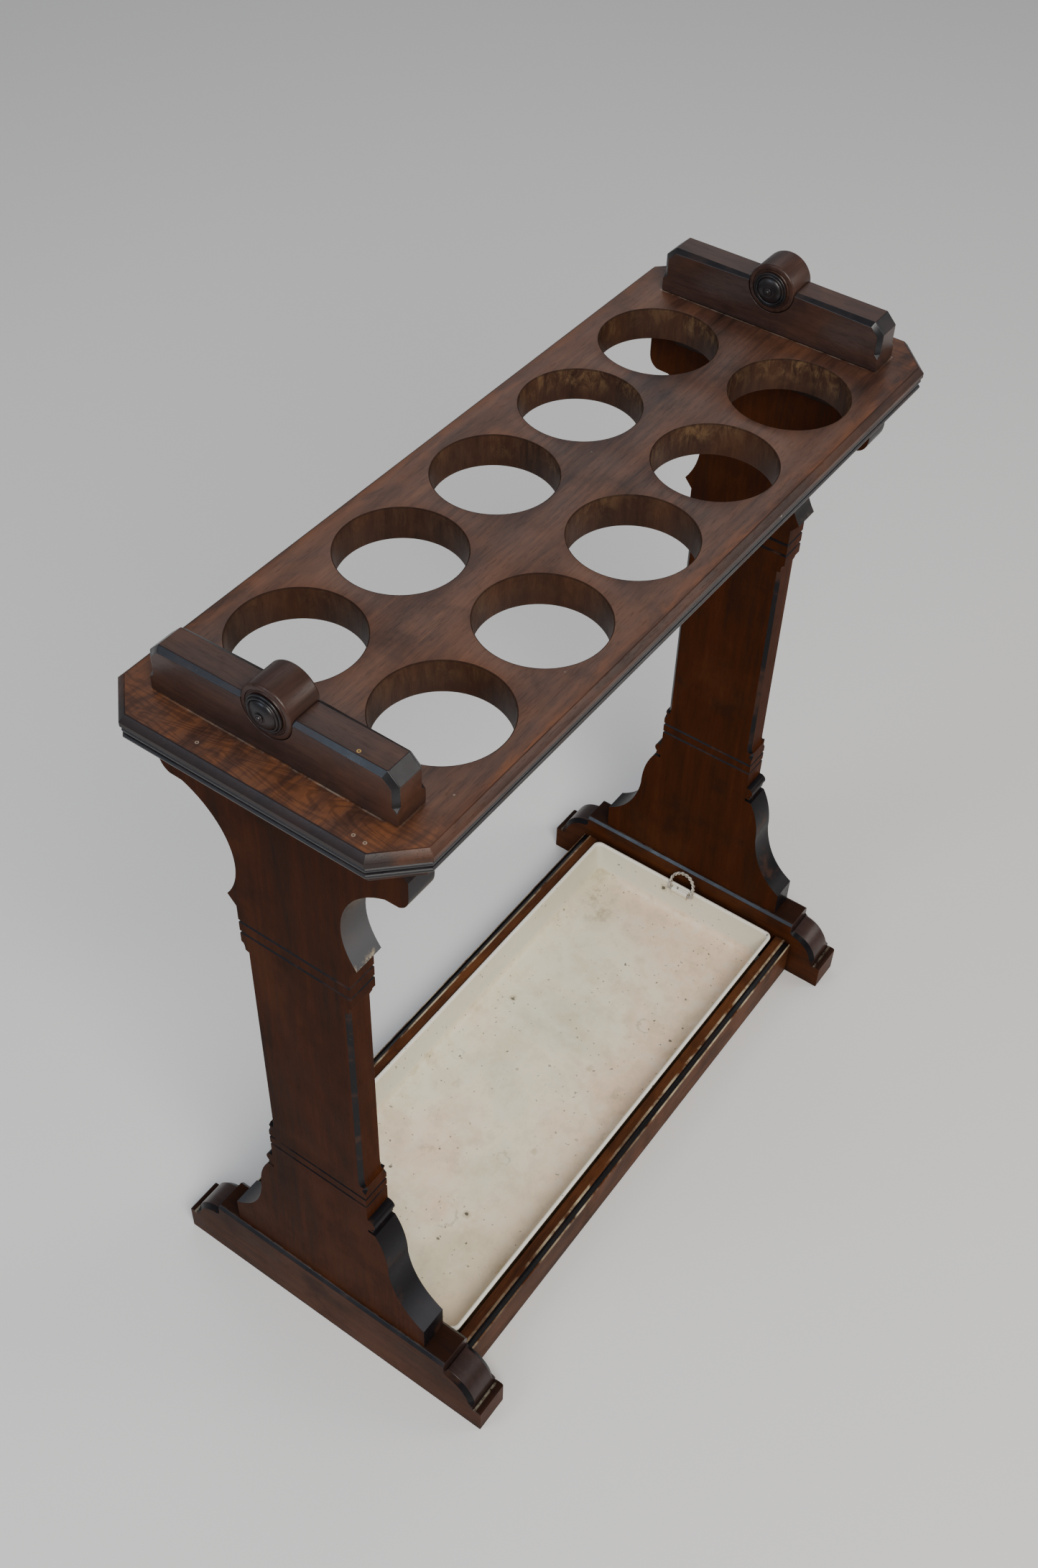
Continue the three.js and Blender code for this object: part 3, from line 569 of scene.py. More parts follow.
def shine_on_arches(finish):
    cusp = support_base + CUSP_RISE
    used = left_end_highlight_and_wear(finish)
    # Painted highlight: grey on the lower part of each arch at the left end. The flecks below are wear.
    lower = finish.above(cusp, 44, 8, 0, 0.8)
    finish.tint(finish.times(lower, used), (0.085, 0.085, 0.088))
    flecks = finish.step(finish.noise(130.0, 4, 0.7), 0.48, 0.62, 0, 0.8)
    edge = finish.above(cusp, 5, 1)
    finish.tint(finish.times(edge, used, flecks), (0.36, 0.29, 0.19))


edge_black = black_polish("edge_black", 0.25, 0.4)
shaped_black = black_polish("shaped_black", 0.75, 0.08)
arch_black_and_highlight = black_polish("arch_black_and_highlight", 0.5, 0.2, ARCH_SHEEN_BLACK)
shine_on_toes(shaped_black)
shine_on_arches(arch_black_and_highlight)
print("black finishes:", edge_black.material.name, shaped_black.material.name)

# %% [markdown]
# ## Cream paint
# The tray is sheet iron in thick cream paint. A warm painted reflection lies along its front, it is
# greener towards the back, its walls are cooler and darker with a painted shade, and grime has
# settled in the fold. Each of these is a smooth step across the tray, laid over a slow noise, so
# nothing repeats. A painted shade also darkens its hollows.

# %% The ground colour of the tray
tray_low, tray_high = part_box("drip_tray")


def tray_ground(finish, mottle):
    wash = finish.noise(7.0, 3, 0.55, 0.4)
    green, cream, peach = (0.76, 0.71, 0.49), (0.9, 0.78, 0.55), (0.93, 0.71, 0.49)
    finish.colour = finish.ramp(wash, (0.36, green), (0.48, cream), (0.6, peach))
    across = finish.axis(finish.place, "Y")
    # Painted reflection: a warm band along the front of the tray.
    finish.tint(finish.step(across, -0.02, -0.1, 0, 0.6), (0.92, 0.66, 0.46))
    finish.tint(finish.step(across, 0.03, 0.1, 0, 0.4), (0.74, 0.74, 0.53))
    finish.tint(finish.step(mottle, 0.45, 0.66, 0, 0.35), (0.86, 0.82, 0.7))
    finish.tint(finish.step(mottle, 0.52, 0.34, 0, 0.35), (0.6, 0.5, 0.38))
    # Painted shade: the walls are laid cooler and darker than the floor.
    on_wall = finish.above(tray_low.z, 4, 13, 0, 0.75)
    finish.tint(on_wall, (0.66, 0.64, 0.5))
    rim = finish.above(tray_high.z, -3.2, -1.6, 0, 0.8)
    finish.tint(rim, (0.88, 0.83, 0.72))
    fold = finish.off(finish.axis(finish.place, "Z"), tray_low.z + 5 * MM)
    fold = finish.step(fold, 5 * MM, 1 * MM)
    patchy = finish.step(finish.noise(24.0, 4, 0.7), 0.47, 0.66, 0, 0.6)
    finish.tint(finish.times(fold, patchy), (0.5, 0.38, 0.19))


# %% [markdown]
# Years of drips have left brown stains and faint rings, and the paint has chipped to dark iron in
# specks. A stain is the distance to a point with a noise taken off, so its edge wanders. The chips
# are cells of a Voronoi pattern, bent by a fine noise so that none of them is round.

# %% Stains, rings and chips
STAINS = (  # x, y, radius, strength
    (0.218, 0.074, 0.026, 0.8), (0.195, 0.06, 0.016, 0.6), (-0.225, -0.07, 0.036, 0.3),
    (0.03, -0.072, 0.014, 0.5), (-0.215, 0.05, 0.026, 0.4), (-0.05, 0.062, 0.012, 0.6),
    (-0.12, 0.03, 0.012, 0.5), (0.08, 0.02, 0.016, 0.35),
)
DRIP_RINGS = (  # x, y, radius
    (-0.085, -0.028, 0.006), (-0.16, -0.02, 0.011), (0.11, -0.05, 0.007), (-0.02, 0.07, 0.005),
)
SMALL_CHIPS = ((100.0, 0.17, 0.84, 0.9), (230.0, 0.24, 0.82, 0.7))  # scale, size, rarity, depth
BARE_IRON = (0.03, 0.03, 0.024)


def drip_marks(finish, mottle):
    wobble = finish.times(finish.noise(95.0, 4, 0.7), 16 * MM)
    grime = finish.step(mottle, 0.4, 0.62)
    faint = finish.step(mottle, 0.44, 0.62, 0, 0.4)
    for x, y, radius, depth in STAINS:
        spread = finish.less(finish.distance_to((x, y, tray_low.z)), wobble)
        share = finish.step(spread, radius, -radius * 0.4, 0, depth)
        finish.tint(finish.times(share, grime), (0.34, 0.23, 0.1))
    for x, y, radius in DRIP_RINGS:
        reach = finish.distance_to((x, y, tray_low.z))
        reach = finish.less(reach, radius + 8 * MM)
        edge = finish.maths("ABSOLUTE", finish.maths("ADD", reach, wobble))
        share = finish.step(edge, 1.6 * MM, 0.3 * MM)
        finish.tint(finish.times(share, faint), (0.3, 0.25, 0.15))


def chips_to_iron(finish):
    """Chips with a rusty halo. Returns where they are, for the bump."""
    grubby = finish.step(finish.noise(13.0, 3), 0.36, 0.54, 0.15, 1)
    ragged = finish.ragged(240.0, 1.2 * MM)
    chips = finish.specks(ragged, 48.0, 0.12, 0.86)
    for scale, size, rarity, depth in SMALL_CHIPS:
        more = finish.times(finish.specks(ragged, scale, size, rarity), depth)
        chips = finish.most(chips, more)
    chips = finish.times(chips, grubby)
    halo = finish.times(finish.specks(ragged, 48.0, 0.24, 0.86), 0.4)
    finish.tint(halo, (0.42, 0.33, 0.17))
    finish.tint(finish.times(chips, 0.88), BARE_IRON)
    return chips


def tray_paint():
    finish = Finish("tray_paint", IOR=1.5)
    mottle = finish.noise(55.0, 5, 0.7)
    tray_ground(finish, mottle)
    drip_marks(finish, mottle)
    chips = chips_to_iron(finish)
    # Painted shade: the hollows of the tray are darkened.
    finish.tint(finish.hollow(14 * MM, 0.2, 0.8, 0.3), (0.3, 0.27, 0.18))
    finish.set("Roughness", finish.add(mottle, 0.35, 0.24))
    height = finish.add(chips, -0.12, finish.noise(9.0, 2))
    finish.set("Normal", finish.bump(height, 1.2 * MM, 0.3))
    return finish


cream_paint = tray_paint()
print("nodes in the tray's paint:", len(cream_paint.tree.nodes))

# %% [markdown]
# ## Wire, steel and plain deal
# The ring handles were once painted with the tray: cream on the crests, worn to grey tin in patches,
# and darkened in the twist by a painted shade. The hidden pieces are raw deal, apart from the glue
# blocks, whose deal is near black, a painted shade so that they don't show through the holes, and the
# screws are dull steel.

# %% Wire, steel and deal
DEAL_TONES = ((0.2, 0.11, 0.05), (0.33, 0.2, 0.1), (0.45, 0.3, 0.16))
SHADE_DARK_TONES = ((0.006, 0.003, 0.002), (0.014, 0.006, 0.004), (0.026, 0.012, 0.007))


def painted_wire():
    finish = Finish("painted_wire", Metallic=0.25)
    finish.colour = (0.55, 0.5, 0.42)
    patches = finish.noise(240.0, 3, 0.6)
    finish.tint(finish.step(patches, 0.42, 0.62), (0.3, 0.275, 0.235))
    # Painted shade: the twist between the strands is darkened.
    finish.tint(finish.hollow(1.5 * MM, 0.2, 0.75, 0.85), (0.05, 0.045, 0.035))
    finish.set("Roughness", finish.add(patches, 0.3, 0.3))
    finish.set("Normal", finish.bump(patches, 0.1 * MM, 0.4))
    return finish


def dull_steel():
    finish = Finish("screw_steel", Metallic=0.85)
    finish.colour = (0.38, 0.36, 0.33)
    tarnish = finish.noise(300.0, 4, 0.65)
    finish.tint(finish.step(tarnish, 0.4, 0.66), (0.16, 0.13, 0.1))
    finish.set("Roughness", finish.add(tarnish, 0.3, 0.3))
    finish.set("Normal", finish.bump(tarnish, 0.08 * MM, 0.4))
    return finish


ring_metal = painted_wire()
screw_steel = dull_steel()
raw_deal = timber("raw_deal", "Y", DEAL_TONES, 0.05, 0.7, 0.2)
# The glue blocks' deal is near black, a painted shade, so that they don't show through the holes.
shade_dark_deal = timber("shade_dark_deal", "Y", SHADE_DARK_TONES, 0.05, 0.7, 0.2, 0.1)
print("materials:", len(bpy.data.materials))

# %% [markdown]
# ## Finishing a piece
# Every piece ends the same way: its faces are turned outwards, its sharp corners are marked so that
# the rest shades smoothly, a fine bevel breaks the arrises as wax and hands have done, the CAD node
# it stands for is hidden, and it moves with its body.
# The record lists the bodies.

# %% Finishing a piece
BODIES = frame["record"]["behaviour"]["bodies"]
BODY_OF = {node: body for body, nodes in BODIES.items() for node in nodes}
WELD = 0.004 * MM


def piece(name, bm, finishes, node, soften=0.0, sharp_degrees=32):
    bmesh.ops.remove_doubles(bm, verts=bm.verts, dist=WELD)
    bmesh.ops.recalc_face_normals(bm, faces=bm.faces)
    mesh = bpy.data.meshes.new(name)
    bm.to_mesh(mesh)
    bm.free()
    for finish in finishes:
        mesh.materials.append(finish.material)
    mesh.shade_smooth()
    mesh.set_sharp_from_angle(angle=math.radians(sharp_degrees))
    made = added(name, mesh)
    if soften:
        bevel = made.modifiers.new("soften", "BEVEL")
        bevel.width = soften
        bevel.segments = 2
        bevel.limit_method = "ANGLE"
        bevel.angle_limit = math.radians(sharp_degrees)
        bevel.harden_normals = True
    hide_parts(node)
    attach(made, BODY_OF[node])
    return made


print("bodies:", sorted(BODIES))

# %% [markdown]
# ## Drawing and sawing
# Most of the stand is flat board sawn to a line, or one section carried along a path. So the pieces
# share a few helpers: curves drawn as lists of points, a board sawn to an outline, rings of edges
# skinned together, and the plane's work of cutting and chamfering.


# %% Helpers for outlines and rings
def arc(centre, radii, start, stop, steps):
    """Points on an arc or part of an ellipse, from one angle in degrees to another."""
    angles = [math.radians(start + (stop - start) * i / steps) for i in range(steps + 1)]
    return [(centre[0] + radii[0] * math.cos(a), centre[1] + radii[1] * math.sin(a)) for a in angles]


def curve(start, pull, stop, steps):
    """Points on a curve from start to stop that leans towards pull."""
    points = []
    for i in range(1, steps + 1):
        t = i / steps
        a, b, c = (1 - t) ** 2, 2 * t * (1 - t), t * t
        points.append(tuple(a * start[k] + b * pull[k] + c * stop[k] for k in (0, 1)))
    return points


def both_sides(half):
    """The whole outline from its right half, which runs from the base up to the top."""
    return half + [(-y, z) for y, z in reversed(half)]


def loop(bm, points):
    """A closed ring of edges through the points."""
    verts = [bm.verts.new(point) for point in points]
    return [bm.edges.new((verts[i - 1], vert)) for i, vert in enumerate(verts)]


def skin(bm, rings):
    """Walls from each ring of edges to the next."""
    for low, high in zip(rings, rings[1:]):
        bmesh.ops.bridge_loops(bm, edges=low + high)


# %% Helpers for sawing and chamfering
BLACK = 1  # the second finish of every piece that has a black one
SAME_PLACE = 0.05 * MM
CUT_REACH = 0.002 * MM


def extruded(points, shift):
    """A solid with one flat end through the points, extruded by the shift."""
    bm = bmesh.new()
    face = bm.faces.new([bm.verts.new(point) for point in points])
    grown = bmesh.ops.extrude_face_region(bm, geom=[face])
    moved = [item for item in grown["geom"] if isinstance(item, bmesh.types.BMVert)]
    bmesh.ops.translate(bm, verts=moved, vec=shift)
    return bm


def sawn(outline, low, high):
    """A board sawn to an outline of (y, z) in millimetres, as thick as its box is along X."""
    points = [(low.x, y * MM, low.z + z * MM) for y, z in outline]
    return extruded(points, (high.x - low.x, 0, 0))


def cut_level(bm, z):
    geometry = bm.verts[:] + bm.edges[:] + bm.faces[:]
    plane = {"plane_co": (0, 0, z), "plane_no": (0, 0, 1)}
    bmesh.ops.bisect_plane(bm, geom=geometry, dist=CUT_REACH, **plane)


def chamfer(bm, edges, width, material=BLACK):
    done = bmesh.ops.bevel(
        bm, geom=edges, offset=width, offset_type="OFFSET", affect="EDGES", segments=1, profile=0.5,
        material=-1, clamp_overlap=False,
    )
    for face in done["faces"]:
        face.material_index = material


def close(value, target):
    return abs(value - target) < SAME_PLACE


# %% [markdown]
# ## Top board
# The board is a clipped rectangle whose edge is worked to a moulding: a chamfer, a narrow square
# face and two beads. A moulding is one profile carried round the outline, so the outline is drawn
# once for each point of the profile and the rings are skinned together. The holes are made the same
# way, with the rim rounded over, and a triangle fill closes the flat faces between them.

# %% The board's moulding and holes
BOARD_CLIP = 26.5
BEAD_CENTRES = ((2.8, 9.4), (2.8, 14.4))
BEAD_RADII = (-2.0, 2.0)
BOARD_PROFILE = [  # inset, height above the underside
    (6.9, 0.0), (6.3, 0.5), (6.3, 7.1), (3.0, 7.3),
    *arc(BEAD_CENTRES[0], BEAD_RADII, -75, 75, 6), (3.0, 11.7), (3.0, 12.1),
    *arc(BEAD_CENTRES[1], BEAD_RADII, -75, 75, 6), (2.6, 16.8), (0.6, 17.2), (0.0, 17.7),
    (0.0, 21.0), (0.25, 21.5), (3.75, 25.15), (4.5, 25.4),
]
HOLE_RADIUS = 43 * MM
HOLE_SIDES = 96
HOLE_ROUND = 0.9
ROUND_MIDDLE = 0.26


def clipped_ring(bm, half_x, half_y, inset, z):
    clip = (BOARD_CLIP - inset * (2 - math.sqrt(2))) * MM
    x = half_x - inset * MM
    y = half_y - inset * MM
    corners = ((-x + clip, -y), (x - clip, -y), (x, -y + clip), (x, y - clip),
               (x - clip, y), (-x + clip, y), (-x, y - clip), (-x, -y + clip))
    return loop(bm, [(px, py, z) for px, py in corners])


def hole_wall(bm, x, y, low, high):
    """The wall of one hole, rounded over at both rims. Returns its lowest and highest rings."""
    rings = []
    lips = ((HOLE_ROUND, 0), (ROUND_MIDDLE, ROUND_MIDDLE), (0, HOLE_ROUND))
    levels = [(out, low + rise * MM) for out, rise in lips]
    levels += [(out, high - rise * MM) for out, rise in reversed(lips)]
    turns = [i * 2 * math.pi / HOLE_SIDES for i in range(HOLE_SIDES)]
    for out, z in levels:
        reach = HOLE_RADIUS + out * MM
        rings.append(loop(bm, [(x + reach * math.cos(a), y + reach * math.sin(a), z) for a in turns]))
    skin(bm, rings)
    return rings[0], rings[-1]


def hole_spacing():
    """Pitch and row spacing of the holes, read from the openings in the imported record."""
    openings = frame["record"]["physics"]["openings"]
    boxes = [o["box_m"] for o in openings if o["name"].startswith("stick_hole")]
    xs, ys = (sorted({round((low[k] + high[k]) / 2, 4) for low, high in boxes}) for k in (0, 1))
    return xs[1] - xs[0], ys[-1] - ys[0]


HOLE_PITCH, HOLE_ROW = hole_spacing()
print("hole pitch and row spacing:", HOLE_PITCH, HOLE_ROW)

# %% Top board
BLACK_FROM, BLACK_TO = 7.0, 17.3
EDGE, BORED = 2, 3


def make_board():
    low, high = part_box("top_board")
    bm = bmesh.new()
    rings = [clipped_ring(bm, high.x, high.y, inset, low.z + z * MM) for inset, z in BOARD_PROFILE]
    skin(bm, rings)
    for face in bm.faces:
        height = (face.calc_center_median().z - low.z) / MM
        face.material_index = BLACK if BLACK_FROM < height < BLACK_TO else EDGE
    under, over = list(rings[0]), list(rings[-1])
    edge_faces = set(bm.faces)
    for row in (-1, 1):
        for place in range(-2, 3):
            bottom, top = hole_wall(bm, place * HOLE_PITCH, row * HOLE_ROW / 2, low.z, high.z)
            under += bottom
            over += top
    for face in set(bm.faces) - edge_faces:
        face.material_index = BORED
    bmesh.ops.triangle_fill(bm, use_beauty=True, edges=under, normal=(0, 0, -1))
    bmesh.ops.triangle_fill(bm, use_beauty=True, edges=over, normal=(0, 0, 1))
    finishes = [board_walnut, edge_black, board_edge, bored_walnut]
    return piece("board", bm, finishes, "top_board", sharp_degrees=24)


print("board", len(make_board().data.polygons), "faces")

# %% [markdown]
# ## End supports
# Each end is a flat board sawn to the outline of a baluster. The outline is drawn as lines, arcs and
# curves, mirrored and extruded: a spreading foot, a bead, a straight shaft with soft shoulders, and
# the C-shaped arch that carries the board.

# %% Outline of an end support
TOP = 576.0
TOE, TOE_TOP = 96.0, 25.5
NECK, SHAFT = 46.0, 43.2
SHAFT_LOW, SHAFT_HIGH = 186.0, TOP - 174.0
SHOULDER = 7
ARCH_CENTRE, ARCH_RADIUS, ARCH_STOP = (100.0, TOP - 97.0), 58.0, 112.3
CUSP = (52.0, TOP - 131.0)
BEAD_TOP = 143.2


def support_half():
    arch_start = math.degrees(math.atan2(CUSP[1] - ARCH_CENTRE[1], CUSP[0] - ARCH_CENTRE[0])) + 360
    half = [(TOE, 0.0), (TOE, TOE_TOP)]
    half += curve(half[-1], (68.5, 41.5), (63.5, 81.0), 14)
    half += curve(half[-1], (63.5, 108.0), (52.5, 126.0), 9)
    half += [(NECK, 126.2), (NECK, 129.5), (50.6, 129.5), (50.6, 132.0)]
    half += arc((47.0, 137.5), (5.5, 5.5), -90, 90, 12)
    half += [(NECK, 143.0), (NECK, SHAFT_LOW)]
    half += curve(half[-1], (SHAFT, SHAFT_LOW), (SHAFT, SHAFT_LOW + SHOULDER), 5)
    half += [(SHAFT, SHAFT_HIGH - SHOULDER)]
    half += curve(half[-1], (SHAFT, SHAFT_HIGH), (NECK, SHAFT_HIGH), 5)
    half += [(NECK, TOP - 138.5)]
    half += arc(ARCH_CENTRE, (ARCH_RADIUS, ARCH_RADIUS), arch_start, ARCH_STOP, 22)
    half += [(88.0, TOP - 43)]
    half += curve(half[-1], (95.5, TOP - 40), (95.5, TOP - 30), 6)
    half += [(95.5, TOP - 17), (92.0, TOP - 14), (92.0, TOP)]
    return half


print("points in the outline:", 2 * len(support_half()))

# %% [markdown]
# Two pairs of incised lines go all the way round. The solid is cut at three levels and the corners
# at the middle one are pulled in, which leaves a V. The long corners of the shaft then get their
# stopped chamfers, each drawn out to a point where it ends.

# %% End supports
GROOVES = (161.0, 171.0, TOP - 164.0, TOP - 153.0)
GROOVE_WIDTH, GROOVE_DEPTH = 2.6, 1.3
CORNER_STOPS = (181.0, TOP - 182.0)
CORNER_CHAMFER = 3.0
LOW_POINT, HIGH_POINT = 4.0, 8.0
FLAT, ARCH = 0, 2


def incise(bm, z, x):
    """A V groove round all four faces at height z."""
    for level in (z - GROOVE_WIDTH / 2 * MM, z, z + GROOVE_WIDTH / 2 * MM):
        cut_level(bm, level)
    for vert in bm.verts:
        if close(vert.co.z, z):
            vert.co.x -= math.copysign(GROOVE_DEPTH * MM, vert.co.x - x)
            vert.co.y -= math.copysign(GROOVE_DEPTH * MM, vert.co.y)


def is_corner(edge, x, half, stops):
    """True for the upright corner edges of the shaft between the two stops."""
    a, b = (v.co for v in edge.verts)
    upright = close(a.x, b.x) and abs(a.z - b.z) > 0.5 * MM and a.y * b.y > 0
    outside = close(abs(a.x - x), half) and min(abs(a.y), abs(b.y)) > (SHAFT - 0.1) * MM
    between = min(a.z, b.z) > stops[0] - 1e-5 and max(a.z, b.z) < stops[1] + 1e-5
    return upright and outside and between


def support_finish(face, base):
    """Walnut on the flats, black on the shaped edges and grooves, and in the arch a paler black with a painted
    highlight.
    """
    level = (face.calc_center_median().z - base) / MM
    if any(abs(level - groove) < GROOVE_WIDTH / 2 for groove in GROOVES):
        return BLACK
    if abs(face.normal.x) > 0.5:
        return FLAT
    if CUSP[1] < level < ARCH_CENTRE[1] + ARCH_RADIUS * 0.98:
        return ARCH
    return BLACK if level < BEAD_TOP or level > CUSP[1] - 8 else FLAT


def make_support(name):
    node = f"end_support_{name}"
    low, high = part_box(node)
    x, half = (low.x + high.x) / 2, (high.x - low.x) / 2
    bm = sawn(both_sides(support_half()), low, high)
    for groove in GROOVES:
        incise(bm, low.z + groove * MM, x)
    bm.normal_update()
    for face in bm.faces:
        face.material_index = support_finish(face, low.z)
    stops = [low.z + level * MM for level in CORNER_STOPS]
    for stop in stops:
        cut_level(bm, stop)
    chamfer(bm, [e for e in bm.edges if is_corner(e, x, half, stops)], CORNER_CHAMFER * MM)
    for vert in bm.verts:
        at_corner = close(abs(vert.co.x - x), half) and abs(vert.co.y) > (SHAFT - 0.1) * MM
        if at_corner and close(vert.co.z, stops[0]):
            vert.co.z -= LOW_POINT * MM
        elif at_corner and close(vert.co.z, stops[1]):
            vert.co.z += HIGH_POINT * MM
    finishes = [end_walnut, shaped_black, arch_black_and_highlight]
    return piece(f"support_{name}", bm, finishes, node, soften=0.55 * MM)


for end, _ in ENDS:
    print("support", end, len(make_support(end).data.polygons), "faces")

# %% [markdown]
# ## Feet
# A foot is a heavy bar whose ends drop to a quarter roll and stop in a small ledge. The roll is part
# of an ellipse in the outline, with a quirk, a fine V, at each end of it where dirt has gathered.
# The arrises of the roll and of the flat top are chamfered and black.

# %% Feet
FOOT_HALF, FOOT_TOP = 153.5, 66.0
FLAT_HALF = 117.0
LEDGE, LEDGE_TOP = 146.5, 27.5
ROLL = (28.5, 29.0)
ROLL_CHAMFER, FLAT_CHAMFER = 3.8, 2.6
FOOT_FINISHES = [foot_walnut, shaped_black, roll_walnut, edge_black]
ROLLED, FLAT_RIM = 2, 3


def foot_half():
    half = [(FOOT_HALF, 0.0), (FOOT_HALF, LEDGE_TOP - 1.5), (FOOT_HALF - 1.5, LEDGE_TOP)]
    half += [(LEDGE, LEDGE_TOP), (LEDGE - 0.6, LEDGE_TOP - 0.9)]
    half += arc((FLAT_HALF, LEDGE_TOP), ROLL, 1, 87, 24)
    half += [(FLAT_HALF, LEDGE_TOP + ROLL[1] - 1.0), (FLAT_HALF, FOOT_TOP)]
    return half


def on_roll(point):
    outward = abs(point.y) / MM
    return FLAT_HALF + 1.4 < outward < LEDGE - 1.1 and point.z > (LEDGE_TOP + 2) * MM


def make_foot(name):
    node = f"foot_{name}"
    low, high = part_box(node)
    bm = sawn(both_sides(foot_half()), low, high)
    for face in bm.faces:
        centre = face.calc_center_median()
        rolled = (FLAT_HALF - 1) * MM < abs(centre.y) < LEDGE * MM
        rolled = rolled and abs(face.normal.x) < 0.5 and centre.z > (LEDGE_TOP - 2) * MM
        face.material_index = ROLLED if rolled else 0
    roll, flat = [], []
    for edge in bm.edges:
        a, b = (v.co for v in edge.verts)
        if close(a.x, b.x) and close(a.z, FOOT_TOP * MM) and close(b.z, FOOT_TOP * MM):
            flat.append(edge)
        elif close(a.x, b.x) and on_roll(a) and on_roll(b):
            roll.append(edge)
    chamfer(bm, flat, FLAT_CHAMFER * MM, FLAT_RIM)
    chamfer(bm, roll, ROLL_CHAMFER * MM)
    return piece(f"foot_{name}_shaped", bm, FOOT_FINISHES, node, soften=0.8 * MM)


for end, _ in ENDS:
    print("foot", end, len(make_foot(end).data.polygons), "faces")

# %% [markdown]
# ## Crest bars
# A crest bar stands across each end of the board. Its middle is scooped out for the roundel. The
# black chamfer runs along the top, over the clipped ends and down each corner, where it dies away
# to a point. A bevel stops square, so the corner left at its end is slid down to make that point.

# %% Crest bars
BAR_HALF, BAR_TOP, BAR_CLIP = 90.0, 36.0, 8.0
BAR_CHAMFER = 3.4
POINT_TOP, POINT_LOW = 13.0, 4.5
ROUNDEL_AXIS, ROUNDEL_SEAT = 33.5, 18.6
BEYOND_SCOOP = 60


def bar_half():
    rise = math.degrees(math.asin((BAR_TOP - ROUNDEL_AXIS) / ROUNDEL_SEAT))
    half = [(BAR_HALF, 0.0), (BAR_HALF, BAR_TOP - BAR_CLIP), (BAR_HALF - BAR_CLIP, BAR_TOP)]
    half += arc((0, ROUNDEL_AXIS), (ROUNDEL_SEAT, ROUNDEL_SEAT), rise, -84, 16)
    return half


def is_chamfered(edge, stop):
    """True for the top and corner edges of a bar, outside the scoop and above the stop."""
    a, b = (v.co for v in edge.verts)
    outside = min(abs(a.y), abs(b.y)) > (ROUNDEL_SEAT - 0.7) * MM
    on_top = max(abs(a.y), abs(b.y)) > (ROUNDEL_SEAT + 1.5) * MM
    above = min(a.z, b.z) > stop - 0.01 * MM
    on_cut = close(a.z, b.z) and close(a.z, stop)
    return close(a.x, b.x) and outside and on_top and above and not on_cut


def make_bar(name):
    node = f"crest_bar_{name}"
    low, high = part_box(node)
    x, half = (low.x + high.x) / 2, (high.x - low.x) / 2
    stop = low.z + POINT_TOP * MM
    bm = sawn(both_sides(bar_half()), low, high)
    cut_level(bm, stop)
    chamfer(bm, [e for e in bm.edges if is_chamfered(e, stop)], BAR_CHAMFER * MM)
    bm.normal_update()
    for vert in bm.verts:
        at_corner = close(abs(vert.co.x - x), half) and close(abs(vert.co.y), BAR_HALF * MM)
        if at_corner and close(vert.co.z, stop):
            vert.co.z = low.z + POINT_LOW * MM
    for face in bm.faces:
        slant = abs(face.normal.y)
        at_corner = abs(face.normal.x) > 0.1 and slant > 0.1
        sloped = 0.6 < slant < 0.8 and face.normal.z > 0.6
        beyond = abs(face.calc_center_median().y) > BEYOND_SCOOP * MM
        if beyond and (at_corner or sloped):
            face.material_index = BLACK
    return piece(f"bar_{name}", bm, [crest_walnut, edge_black], node, soften=0.45 * MM)


for end, _ in ENDS:
    print("bar", end, len(make_bar(end).data.polygons), "faces")

# %% [markdown]
# ## Roundels and bosses
# These came off a lathe, so they are spun: a profile of (distance along the axis, radius) is swept
# once round. A boss is a plate, a step, a low dome, a collar and a nipple.

# %% Turned work
ROUNDEL_STEPS, BOSS_STEPS = 72, 56


def turned(profile, centre, way, steps):
    """Spins a profile of (along, radius) in millimetres about an axis that runs along X."""
    bm = bmesh.new()
    x, y, z = centre
    verts = [bm.verts.new((x + way * along * MM, y, z + radius * MM)) for along, radius in profile]
    edges = [bm.edges.new(pair) for pair in zip(verts, verts[1:])]
    bmesh.ops.spin(
        bm, geom=verts + edges, cent=centre, axis=(1, 0, 0), dvec=(0, 0, 0), angle=2 * math.pi,
        steps=steps, use_merge=True, use_duplicate=False,
    )
    bmesh.ops.remove_doubles(bm, verts=bm.verts, dist=0.01 * MM)
    return bm


def roundel_profile(half):
    end = [(half, 0), (half, 13.6), (half - 0.7, 14.1), (half - 0.7, 14.7), (half - 0.1, 15.2)]
    end += arc((half - 1.9, 16.6), (1.9, 1.9), 20, 90, 5)
    return [(-along, radius) for along, radius in end] + list(reversed(end))


def boss_profile():
    plate = [(0.1, 0), (0.1, 12.4)] + arc((1.0, 12.2), (0.9, 0.8), 180, -20, 7)[1:]
    step = [(1.5, 11.4)] + arc((2.1, 10.6), (0.8, 0.8), 130, -30, 6)
    dome = [(2.2, 9.7)] + arc((2.2, 0), (3.0, 9.6), 88, 24, 10)
    collar = [(4.75, 3.5), (4.9, 3.1)] + arc((5.4, 2.5), (0.55, 0.55), 150, 0, 6)
    nipple = [(5.9, 1.9)] + arc((5.9, 0), (1.25, 1.8), 80, 0, 6)
    return plate + step + dome + collar + nipple


